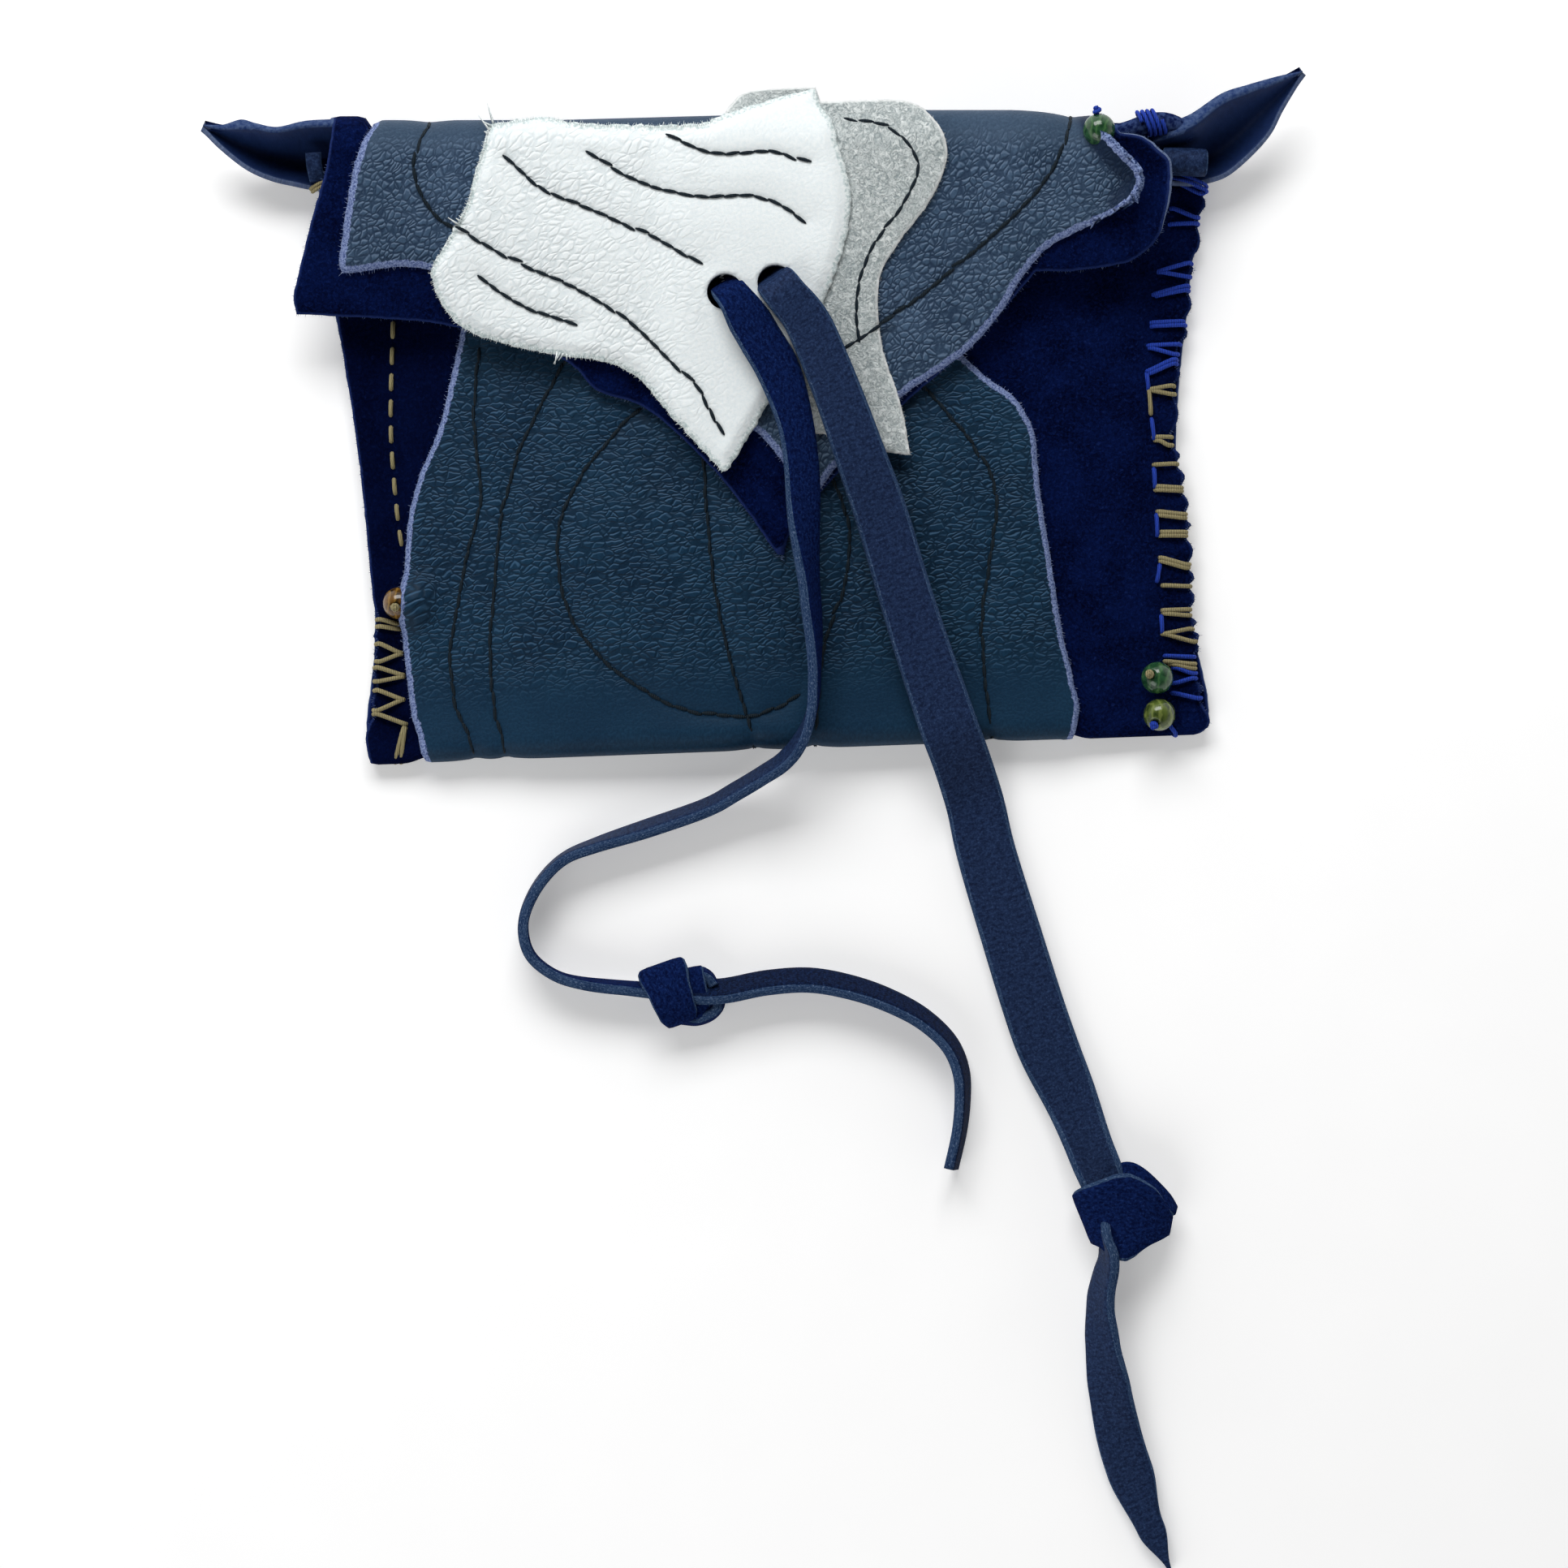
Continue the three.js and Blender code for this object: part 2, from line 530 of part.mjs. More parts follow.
function lace(route, width, roll) {
  const curve = new THREE.CatmullRomCurve3(route.map((point) => new THREE.Vector3(...point)));
  const over = [];
  const under = [];
  for (const share of evenly(LACE_STEPS)) {
    const middle = curve.getPointAt(share);
    const ahead = curve.getTangentAt(share);
    const level = new THREE.Vector3(ahead.y, -ahead.x, 0).normalize();
    const across = level.applyAxisAngle(ahead, THREE.MathUtils.degToRad(roll(share)));
    const up = across.clone().cross(ahead).normalize();
    const ends = [0.5, -0.5].map((side) => middle.clone().addScaledVector(across, side * width(share)));
    over.push(ends.map((end) => end.clone().addScaledVector(up, LACE / 2)));
    under.push(ends.map((end) => end.clone().addScaledVector(up, -LACE / 2)));
  }
  return skin(under, over);
}

// A knot is drawn as one turn of the lace wound tight round itself.
function knot(centre, heading, lean) {
  const axis = new THREE.Vector3(Math.cos(heading), Math.sin(heading), 0);
  const sideways = new THREE.Vector3(-axis.y, axis.x, 0);
  const over = [];
  const under = [];
  for (const turn of evenly(22, -0.58, 0.58)) {
    const angle = 2 * Math.PI * turn + lean;
    const spot = (grow) =>
      new THREE.Vector3(...centre)
        .addScaledVector(axis, KNOT_PITCH * turn)
        .addScaledVector(sideways, (KNOT_HALF_WIDTH + grow) * Math.cos(angle))
        .add(new THREE.Vector3(0, 0, (KNOT_HALF_HEIGHT + grow) * Math.sin(angle)));
    const band = (grow) => [0.5, -0.5].map((side) => spot(grow).addScaledVector(axis, side * KNOT_BAND));
    over.push(band(LACE / 2));
    under.push(band(-LACE / 2));
  }
  return skin(over, under);
}

const KNOT_Z = KNOT_HALF_HEIGHT + LACE / 2 + GAP;
const leftKnot = knot([-18.6, -140, KNOT_Z], 0, 1.9);
const rightKnot = knot([89.2, -194.1, KNOT_Z], -1.54, 1.9);

// Behind the flap the lace runs flat from one hole to the other.
const BRIDGE_WIDTH = 6.8;
const BRIDGE_THICKNESS = 1.6;
const BRIDGE_Z = 16.4;
function laceBridge() {
  const half = BRIDGE_WIDTH / 2;
  const length = LEFT_HOLE.distanceTo(RIGHT_HOLE);
  const run = RIGHT_HOLE.clone().sub(LEFT_HOLE).angle();
  const slot = new THREE.Shape()
    .absarc(0, 0, half, Math.PI / 2, (3 * Math.PI) / 2)
    .absarc(length, 0, half, -Math.PI / 2, Math.PI / 2)
    .closePath();
  const extrusion = { depth: BRIDGE_THICKNESS, bevelEnabled: false, curveSegments: 6 };
  const bar = new THREE.ExtrudeGeometry(slot, extrusion);
  bar.rotateZ(run);
  return bar.translate(LEFT_HOLE.x, LEFT_HOLE.y, BRIDGE_Z);
}

// Beads: turned balls with a bore, each held by a thread that is knotted on top.
function bead() {
  const outer = Math.acos(BEAD_BORE / BEAD_RADIUS);
  const profile = evenly(6, -outer, outer).map(
    (turn) => new THREE.Vector2(BEAD_RADIUS * Math.cos(turn), BEAD_RADIUS * Math.sin(turn)),
  );
  profile.push(profile[0].clone());
  return new THREE.LatheGeometry(profile, 10).rotateX(Math.PI / 2);
}

function beadThread() {
  const stem = BEAD_BORE - GAP;
  const top = BEAD_RADIUS + GAP;
  const profile = pair([
    [0, -BEAD_RADIUS], [stem, -BEAD_RADIUS], [stem, top - 0.2], [1.4, top], [1.7, top + 0.8],
    [1.2, top + 1.6], [0, top + 1.9],
  ]);
  return new THREE.LatheGeometry(profile, 6).rotateX(Math.PI / 2);
}

// Finishes, as seen from a step away
const finish = (color, roughness) => new THREE.MeshStandardMaterial({ color, roughness, metalness: 0 });
const finishes = {
  suede: finish("#08123a", 0.95),
  leather: finish("#1d3a52", 0.55),
  flapLeather: finish("#3b4f64", 0.55),
  grey: finish("#b9c2c3", 0.95),
  white: finish("#e8eff0", 0.6),
  lace: finish("#1c2b47", 0.7),
  blueThread: finish("#14388c", 0.6),
  tanThread: finish("#a89a6e", 0.6),
  greenStone: finish("#2a5a35", 0.25),
  oliveStone: finish("#4f6a2a", 0.25),
  brownStone: finish("#8a6428", 0.25),
};

const clutch = new THREE.Group();
function add(name, geometry, material, x = 0, y = 0, z = 0) {
  const mesh = new THREE.Mesh(geometry, material);
  mesh.name = name;
  mesh.position.set(x, y, z);
  clutch.add(mesh);
}

add("pouch_suede", pouchSuede, finishes.suede);
add("pouch_leather", pouchLeather, finishes.leather);
add("right_upper_blue_thread", rightSeam(upperBlueUps), finishes.blueThread);
add("right_tan_thread", rightSeam(tanUps), finishes.tanThread);
add("right_lower_blue_thread", rightSeam(lowerBlueUps), finishes.blueThread);
add("left_tan_thread", leftSeam(leftTanUps), finishes.tanThread);
add("flap_suede", flapSuede, finishes.suede);
add("flap_leather", flapLeather, finishes.flapLeather);
add("grey_patch", greyPatch, finishes.grey);
add("white_patch", whitePatch, finishes.white);
add("lace_bridge", laceBridge(), finishes.lace);
add("left_lace", lace(LEFT_ROUTE, leftWidth, leftRoll), finishes.lace);
add("right_lace", lace(RIGHT_ROUTE, rightWidth, rightRoll), finishes.lace);
add("left_knot", leftKnot, finishes.lace);
add("right_knot", rightKnot, finishes.lace);

// Where the beads sit: three on the seams, and one on the top fold
const SEAM_BEAD_Z = SEAM_FRONT - THREAD_RADIUS + GAP + BEAD_RADIUS;
const beads = [
  ["left_bead", -89.6, -44.9, SEAM_BEAD_Z, finishes.brownStone, finishes.tanThread],
  ["green_bead", 98.7, -63.2, SEAM_BEAD_Z, finishes.greenStone, finishes.tanThread],
  ["olive_bead", 99.2, -72.2, SEAM_BEAD_Z, finishes.oliveStone, finishes.blueThread],
  ["fold_bead", 82.5, 68.4, 26.6, finishes.greenStone, finishes.blueThread],
];
for (const [name, x, y, z, stone, cord] of beads) {
  add(name, bead(), stone, x, y, z);
  add(`${name}_thread`, beadThread(), cord, x, y, z);
}

export default clutch;
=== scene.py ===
import math

import bmesh
import bpy
import numpy as np
from mathutils import Matrix, Vector, kdtree, noise


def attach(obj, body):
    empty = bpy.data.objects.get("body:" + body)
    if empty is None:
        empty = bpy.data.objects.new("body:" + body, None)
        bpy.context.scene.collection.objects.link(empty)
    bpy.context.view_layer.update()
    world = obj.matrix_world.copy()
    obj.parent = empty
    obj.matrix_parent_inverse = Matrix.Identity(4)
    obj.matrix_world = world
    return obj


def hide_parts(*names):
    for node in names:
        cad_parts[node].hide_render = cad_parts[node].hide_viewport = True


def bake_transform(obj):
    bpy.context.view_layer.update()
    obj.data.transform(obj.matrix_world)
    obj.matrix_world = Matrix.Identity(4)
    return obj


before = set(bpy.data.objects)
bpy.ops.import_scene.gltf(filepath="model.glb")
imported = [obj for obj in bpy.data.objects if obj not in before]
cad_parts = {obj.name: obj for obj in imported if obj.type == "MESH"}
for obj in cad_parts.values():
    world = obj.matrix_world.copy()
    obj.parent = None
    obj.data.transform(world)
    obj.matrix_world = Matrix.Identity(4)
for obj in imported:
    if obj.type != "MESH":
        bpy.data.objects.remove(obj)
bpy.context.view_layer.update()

# ---- Pouch lining
# One sheet of dark navy suede, about 1.4 mm thick, is cut by hand and folded along its bottom into a
# pocket. Its side edges are whipped together with thread, which pulls them into small scallops.
# Lengths are in millimetres until a mesh is made of them
MM = 0.001
SUEDE = 1.4
SUEDE_FACES, SUEDE_SKIVE = (SUEDE / 2, -SUEDE / 2), (1.2, 0.35)
BACK_Z, MARGIN_GAP, POCKET_DEPTH = 2.6, 0.4, 9
FOLD_Y, FOLD_RADIUS, SUEDE_RADIUS = 62.2, 11.5, 8.9
FRONT_RUN, BOTTOM_RUN, BACK_RUN = 135, 8, 140
POUCH_END = -(FRONT_RUN + BOTTOM_RUN + BACK_RUN)


def ease(share):
    """A soft step from 0 to 1."""
    share = np.clip(share, 0, 1)
    return share * share * (3 - 2 * share)


def reached(line):
    """How far along a line each of its points lies."""
    return np.concatenate([[0], np.cumsum(np.linalg.norm(np.diff(line, axis=0), axis=1))])


def drawn(points, step):
    """A line through points in even steps, smooth apart from the corners, which are given twice."""
    runs = [[points[0]]]
    for before, after in zip(points, points[1:]):
        if after == before:
            runs.append([after])
        else:
            runs[-1].append(after)
    bits = []
    for run in (run for run in runs if len(run) > 1):
        p = np.array(run, float)
        p = np.vstack([2 * p[0] - p[1], p, 2 * p[-1] - p[-2]])
        f = np.linspace(0, 1, 12)[:, None]
        for a, b, c, d in zip(p, p[1:], p[2:], p[3:]):
            bend = (2 * a - 5 * b + 4 * c - d) * f**2 + (3 * b - a - 3 * c + d) * f**3
            bits.append(0.5 * (2 * b + (c - a) * f + bend))
    line = np.vstack(bits)
    place = reached(line)
    at = np.linspace(0, place[-1], max(2, round(place[-1] / step)) + 1)
    return np.column_stack([np.interp(at, place, line[:, k]) for k in range(line.shape[1])])


def fullness(x):
    """How far the pocket stands open across the bag."""
    return 1 - np.abs(2 * np.clip((x + 88) / 186, 0, 1) - 1) ** 2.5


def bottom_radius(x):
    """How round the bottom fold is: tight at its ends, soft in the middle."""
    return (1.8 + 4.05 * fullness(x)) / 2


def bottom_y(x):
    """The fold along the bottom runs a little uphill to the right, and its bare ends hang lower."""
    return -78.4 + 0.0366 * x + bottom_radius(x) - 1.9 * (ease((-78 - x) / 8) + ease((x - 75) / 8))


def mouth_y(x):
    """The front's upper edge sags where the pocket is full."""
    return 60 - 7 * fullness(x)


def pocket_room(x, y):
    """The gap between the front wall and the back wall, widest above the bottom fold."""
    up = (y - bottom_y(x)) / (60 - bottom_y(x))
    return MARGIN_GAP + POCKET_DEPTH * fullness(x) * (0.45 + 0.55 * ease(up / 0.4))


def lean(x):
    """The top fold runs a little uphill to the right, then drops at the corner."""
    return 1.25 * np.clip((x + 5) / 45, -0.95, 1) * (1 - ease((x - 62) / 20))


def pouch_form(x, down):
    """Middle of the folded suede: down the front, round the bottom, up the back and on round the top fold."""
    run = -down
    bottom, radius = bottom_y(x), bottom_radius(x)
    front_y = mouth_y(x) + (bottom - mouth_y(x)) * run / FRONT_RUN
    turn = np.clip((run - FRONT_RUN) / BOTTOM_RUN, 0, 1) * np.pi
    back_y = bottom + (FOLD_Y - bottom) * np.minimum((run - FRONT_RUN - BOTTOM_RUN) / BACK_RUN, 1)
    over = np.maximum(run + POUCH_END, 0) / SUEDE_RADIUS
    back_y = back_y + SUEDE_RADIUS * np.sin(over) + lean(x) * ease((run + POUCH_END + 30) / 30)
    back_z = BACK_Z + SUEDE_RADIUS * (1 - np.cos(over))
    on_front, on_back = run < FRONT_RUN, run > FRONT_RUN + BOTTOM_RUN
    y = np.where(on_front, front_y, np.where(on_back, back_y, bottom - radius * np.sin(turn)))
    front_z = BACK_Z + SUEDE + pocket_room(x, y)
    z = np.where(on_front, front_z, np.where(on_back, back_z, BACK_Z + radius * (1 + np.cos(turn))))
    return np.column_stack([x, y, z])


def on_front(points):
    """Points of the bag's front as places on the flat sheet."""
    return [(x, -FRONT_RUN * float((mouth_y(x) - y) / (mouth_y(x) - bottom_y(x)))) for x, y in points]


SMOOTH, COLOURS = {"interpolation_type": "SMOOTHSTEP"}, {"data_type": "RGBA"}
PLUS, MINUS, TIMES = {"operation": "ADD"}, {"operation": "SUBTRACT"}, {"operation": "MULTIPLY"}


def linear(code):
    """The linear colour of an sRGB hex code."""
    parts = [int(code[i : i + 2], 16) / 255 for i in (1, 3, 5)]
    return (*(p / 12.92 if p <= 0.04045 else ((p + 0.055) / 1.055) ** 2.4 for p in parts), 1.0)


def join(tree, node, sockets):
    """Sets a node's inputs: another node's output is linked, a hex code is a colour, the rest are values."""
    for name, value in dict(sockets).items():
        if isinstance(value, bpy.types.NodeSocket):
            tree.links.new(value, node.inputs[name])
        else:
            node.inputs[name].default_value = linear(value) if isinstance(value, str) else value


def put(tree, kind, sockets=(), out=0, **settings):
    """Adds a shader node with its settings and its links, and gives one of its outputs."""
    node = tree.nodes.new("ShaderNode" + kind)
    for name, value in settings.items():
        setattr(node, name, value)
    join(tree, node, sockets)
    return node.outputs[out]


def layered(tree, colour, layers, depth=None):
    """Lays tones over a colour, each up to its share where a value goes from its first number to its full one."""
    for value, first, full, share, tone in layers:
        part = put(tree, "MapRange", {0: value, 1: first, 2: full, 4: share}, **SMOOTH)
        if depth is not None:
            part = put(tree, "Math", {0: depth, 1: part}, **TIMES)
        colour = put(tree, "Mix", {0: part, 6: colour, 7: tone}, 2, **COLOURS)
    return colour


def material(name):
    """A new material with its nodes and its shader."""
    made = bpy.data.materials.new(name)
    made.use_nodes = True
    return made, made.node_tree, made.node_tree.nodes["Principled BSDF"]


def suede(name, deep, mid, rim, bump, size=1.3, curls=0.8, specks=0.4, clumps=0.35, painted_shade_strip=None):
    """Napped leather: it swallows light, its short fibres lie in soft clumps, and its cut rim is paler."""
    # Scales count per millimetre of the flat sheet: tufts of about 0.8 mm in clumps of about a centimetre
    made, tree, shader = material(name)
    flat = put(tree, "Attribute", out="Vector", attribute_name="flat")
    edge = put(tree, "Attribute", out="Fac", attribute_name="edge")
    nap = {"Vector": flat, "Scale": size, "Detail": 4.0, "Roughness": 0.7, "Distortion": curls}
    fibre = put(tree, "TexNoise", nap)
    clump = put(tree, "TexNoise", {"Vector": flat, "Scale": 0.1, "Detail": 3.0})
    near = put(tree, "MapRange", {0: fibre, 1: 0.36, 2: 0.64, 4: 1 - clumps}, **SMOOTH)
    far = put(tree, "MapRange", {0: clump, 1: 0.35, 2: 0.65, 4: clumps}, **SMOOTH)
    shade = put(tree, "Math", {0: near, 1: far}, **PLUS)
    colour = put(tree, "Mix", {0: shade, 6: deep, 7: mid}, 2, **COLOURS)
    layers = [(fibre, 0.58, 0.72, specks, rim)]
    # Painted shade: across a band of the sheet the suede goes towards its deep tone, standing in for the shade on
    # the pouch's left strip beside the flap.
    if painted_shade_strip:
        layers.append((put(tree, "SeparateXYZ", {0: flat}), *painted_shade_strip, 0.6, deep))
    layers.append((put(tree, "Math", {0: edge, 1: fibre}, **PLUS), 1.25, 0.7, 0.8, rim))
    colour = layered(tree, colour, layers)
    relief = put(tree, "Bump", {"Strength": bump, "Distance": 0.0006, "Height": fibre})
    join(tree, shader, {"Base Color": colour, "Normal": relief, "Roughness": 0.95, "Specular IOR Level": 0.02})
    return made


navy_suede = suede("navy suede", "#01041c", "#081848", "#24346a", 0.7)
# The pouch's suede is a copy of the navy suede with painted shade on its left strip.
pouch_suede = suede("navy suede of the pouch", "#01041c", "#081848", "#24346a", 0.7, painted_shade_strip=(-62, -78))
nap_rim = suede("navy suede cut edge", "#1c2a50", "#3c4c78", "#7484a4", 1.0)


def within(points, ring):
    """Which points lie inside a closed line."""
    inside = np.zeros(len(points), bool)
    x, y = points[:, 0], points[:, 1]
    for (ax, ay), (bx, by) in zip(ring, np.roll(ring, -1, axis=0)):
        if ay != by:
            inside ^= ((ay > y) != (by > y)) & (x < (bx - ax) * (y - ay) / (by - ay) + ax)
    return inside


def tree_of(points):
    """Flat points, sorted so that the nearest is found fast."""
    found = kdtree.KDTree(len(points))
    for i, (x, y) in enumerate(points):
        found.insert((x, y, 0), i)
    found.balance()
    return found


def distances(points, lines):
    """How far each point lies from the nearest of some lines, in mm."""
    if not len(lines):
        return np.full(len(points), 99.0)
    near = tree_of(np.vstack(lines))
    return np.array([near.find((x, y, 0))[2] for x, y in points])


def ragged(line, size):
    """A hand-cut line: it wanders a little to both sides."""
    ahead = np.gradient(line, axis=0)
    side = np.column_stack([ahead[:, 1], -ahead[:, 0]])
    side /= np.linalg.norm(side, axis=1)[:, None] + 1e-9
    waver = [noise.noise((x * 0.5, y * 0.5, 3)) + noise.noise((x * 1.7, y * 1.7, 9)) for x, y in line]
    return line + side * np.array(waver)[:, None] * size


def raised(form, flat, height):
    """Points at heights above a surface, along its own normal."""
    x, y = flat[:, 0], flat[:, 1]
    across = form(x + 0.05, y) - form(x - 0.05, y)
    along = form(x, y + 0.05) - form(x, y - 0.05)
    normal = np.cross(across, along)
    normal /= np.linalg.norm(normal, axis=1)[:, None]
    return form(x, y) + normal * np.reshape(height, (-1, 1))


def store(mesh, name, values):
    """Keeps one number or one vector at each point for the materials."""
    kind = "FLOAT" if np.ndim(values) == 1 else "FLOAT_VECTOR"
    layer = mesh.attributes.new(name, kind, "POINT")
    layer.data.foreach_set("value" if kind == "FLOAT" else "vector", np.ravel(values))


def meshed(name, bm):
    """The mesh of what has been built."""
    mesh = bpy.data.meshes.new(name)
    bm.to_mesh(mesh)
    bm.free()
    return mesh


def shown(name, mesh, finishes):
    """Puts a mesh into the scene with its materials, smooth all over."""
    for finish in finishes:
        mesh.materials.append(finish)
    mesh.polygons.foreach_set("use_smooth", [True] * len(mesh.polygons))
    piece = bpy.data.objects.new(name, mesh)
    bpy.context.scene.collection.objects.link(piece)
    return piece


def thickened(piece, depth):
    """Gives a sheet its thickness under its face. Its back and its rim take the second and third materials."""
    skin = piece.modifiers.new("thickness", "SOLIDIFY")
    skin.thickness = depth * MM
    skin.offset = -1
    skin.material_offset = 1
    skin.material_offset_rim = 2
    return skin


def hide(
    name, outline, cell, form, faces, finishes,
    holes=(), seams=(), skive=(1, 0.3), wild=0.12, ends=None, upright=(),
):
    """A sheet of leather or suede, cut to an outline, laid on a form and given its thickness."""
    outer, inner = faces
    rings = [ragged(drawn([*outline, outline[0]], 0.3), wild)]
    rings += [drawn([*hole, hole[0]], 0.3) for hole in holes]
    low, high = rings[0].min(0) - cell, rings[0].max(0) + cell
    counts = np.ceil((high - low) / cell).astype(int)
    bm = bmesh.new()
    bmesh.ops.create_grid(bm, x_segments=int(counts[0]), y_segments=int(counts[1]), size=0.5)
    for vert in bm.verts:
        x, y = low + (np.array(vert.co.xy) + 0.5) * (high - low)
        vert.co = (x, y, 0)
    middles = np.array([face.calc_center_median().xy for face in bm.faces])
    keep = within(middles, rings[0][::2])
    for ring in rings[1:]:
        keep &= ~within(middles, ring)
    bmesh.ops.delete(bm, geom=[f for f, k in zip(bm.faces, keep) if not k], context="FACES")
    around = tree_of(np.vstack(rings))
    rim = [vert for vert in bm.verts if vert.is_boundary]
    for vert in rim:
        vert.co = around.find(vert.co)[0]
    gap = [around.find(vert.co)[2] for vert in bm.verts]
    loose = [v for v, g in zip(bm.verts, gap) if g < 3 * cell and not v.is_boundary]
    for _ in range(5):
        bmesh.ops.smooth_vert(bm, verts=loose, factor=0.5, use_axis_x=True, use_axis_y=True)
    flat = np.array([vert.co.xy for vert in bm.verts])
    raw = rings[0][(rings[0][:, 1] > ends[0]) & (rings[0][:, 1] < ends[1])] if ends else rings[0]
    edge = distances(flat, [raw])
    # How near each point lies to an edge that stands up. It lifts and thins that edge, and it is kept as turned,
    # which the grained leather uses to paint shade into the hollow behind the edge.
    turned = np.exp(-((distances(flat, upright) / 8) ** 2))
    edge = edge / (1 - 0.5 * turned)
    sewn = distances(flat, [drawn(seam, 0.5) for seam in seams])
    height = outer - skive[1] * (1 - ease(edge / skive[0])) * (1 - 0.8 * turned)
    groove, pucker = (0.35, 0.9), (0.5, 4)
    for depth, reach in (groove, pucker):
        height = height - depth * np.exp(-((sewn / reach) ** 2))
    height = np.maximum(height, inner + 0.25)
    for vert, place in zip(bm.verts, raised(form, flat, height) * MM):
        vert.co = place
    weights = bm.verts.layers.deform.verify()
    for vert, share in zip(bm.verts, (height - inner) / (outer - inner)):
        vert[weights][0] = float(share)
    mesh = meshed(name, bm)
    store(mesh, "flat", np.column_stack([flat, np.zeros(len(flat))]))
    store(mesh, "edge", edge)
    store(mesh, "turned", turned)
    piece = shown(name, mesh, finishes)
    piece.vertex_groups.new(name="thickness")
    thickened(piece, outer - inner).vertex_group = "thickness"
    return piece


def fuzz(name, deep, pale, size=900.0):
    """Loose fibres: matt, and each a little lighter or darker than the next, over about a millimetre."""
    made, tree, shader = material(name)
    place = put(tree, "TexCoord", out="Object")
    tone = put(tree, "TexNoise", {"Vector": place, "Scale": size, "Detail": 2.0})
    colour = layered(tree, deep, [(tone, 0.35, 0.65, 1, pale)])
    join(tree, shader, {"Base Color": colour, "Roughness": 0.95, "Specular IOR Level": 0.02})
    return made


navy_fuzz = fuzz("navy suede fibres", "#1c2b55", "#6c7da2")


def fringe(name, lines, form, height, finish, length, spacing=0.6, thick=0.09):
    """Loose fibres that stand out to the right along cut edges."""
    bm = bmesh.new()
    for line in lines:
        spots = drawn(line, spacing)
        ahead = np.gradient(spots, axis=0)
        ahead /= np.linalg.norm(ahead, axis=1)[:, None] + 1e-9
        out = np.column_stack([ahead[:, 1], -ahead[:, 0]])
        chance = np.random.default_rng(len(spots))
        reach = length * chance.uniform(0.25, 1, (len(spots), 1)) ** 2
        tips = spots + out * reach + ahead * reach * chance.normal(0, 0.7, (len(spots), 1))
        starts = raised(form, spots - out * 0.6, np.full(len(spots), height))
        ends = raised(form, tips, height + chance.normal(0, 0.2, len(spots)))
        for first, last in zip(starts, ends):
            way = Vector(last - first)
            turn = way.to_track_quat("Z", "Y").to_matrix().to_4x4()
            at = Matrix.Translation(Vector((first + last) / 2)) @ turn
            bmesh.ops.create_cone(
                bm, cap_ends=True, segments=3, radius1=thick, radius2=thick * 0.3, depth=way.length, matrix=at
            )
    bmesh.ops.scale(bm, vec=(MM, MM, MM), verts=bm.verts)
    return shown(name, meshed(name, bm), [finish])


# Each strand of the whip stitches: its needle hole, then where it goes over the edge
UPPER_BLUE = [((103.3, 59.2), (110.6, 57)), ((103.7, 58.2), (110, 55.8)), ((102.5, 52), (109, 49.9))]
UPPER_BLUE += [((102.2, 48.1), (108.9, 48.3)), ((99.4, 36.6), (107.3, 38.5)), ((99.4, 36.4), (107, 35.3))]
UPPER_BLUE += [((98.1, 30.9), (106.6, 32.9)), ((98.9, 30.6), (106.6, 31.9)), ((97.6, 24), (105.4, 24.3))]
UPPER_BLUE += [((97.7, 23.1), (105.8, 23.4)), ((96.9, 18.4), (104.5, 18.7)), ((97.1, 17.8), (104, 16.3))]
UPPER_BLUE += [((96.5, 12.1), (103.7, 14.9)), ((96.9, 11.5), (103.7, 13.9))]
TAN = [((97.1, 7.7), (103, 8.5)), ((97.5, 7.3), (103.2, 6.5)), ((98.2, -4), (102.4, -4))]
TAN += [((98.6, -4.8), (102.6, -6)), ((98.3, -10.8), (103.8, -10.6)), ((98.6, -16.1), (104.9, -16.4))]
TAN += [((98.7, -17), (104.9, -17.2))]
TAN += [((99.2, -22.3), (105.9, -22.9)), ((99.2, -23.2), (105.8, -23.8)), ((99.8, -27.3), (106, -27.3))]
TAN += [((99.8, -28.2), (106, -28.2)), ((99.8, -33.6), (106.8, -35.2)), ((99.9, -34.5), (106.6, -36))]
TAN += [((100.4, -40.4), (107, -40.6)), ((100.4, -46.5), (107, -46.3)), ((100.6, -47.3), (107, -47.7))]
TAN += [((100.4, -52.3), (107.6, -51.1)), ((100.6, -52.3), (108.4, -54.1))]
LOWER_TAN = [((101, -59), (108.2, -59.6)), ((102.2, -59.7), (108.2, -60.7))]
LOWER_BLUE = [((101, -57.7), (108, -57.9)), ((103, -60.6), (108.4, -61.9)), ((102.8, -64.4), (108.4, -63.2))]
LOWER_BLUE += [((102.8, -66.8), (109.6, -68))]
LEFT_TAN = [((-86.6, -49.9), (-92, -48.8)), ((-86.6, -51.1), (-92, -50.5)), ((-86, -57), (-92.2, -54.8))]
LEFT_TAN += [((-86, -57.2), (-92.2, -59)), ((-85.6, -62.4), (-92.6, -60.6)), ((-85.6, -62.8), (-92.6, -63.9))]
LEFT_TAN += [((-85.6, -68.4), (-92.6, -66.2)), ((-85.6, -68.4), (-92.8, -71)), ((-85, -74.4), (-92.8, -72))]


def scalloped(strands, bulge):
    """The margin of a seam from the top down: each strand pulls it in, and it bulges between them."""
    ends = sorted((edge for hole, edge in strands), key=lambda point: -point[1])
    line = [ends[0]]
    for above, below in zip(ends, ends[1:]):
        if above[1] - below[1] > 2.5:
            line.append(((above[0] + below[0]) / 2 + bulge, (above[1] + below[1]) / 2))
        if above[1] - below[1] > 0.7:
            line.append(below)
    return line


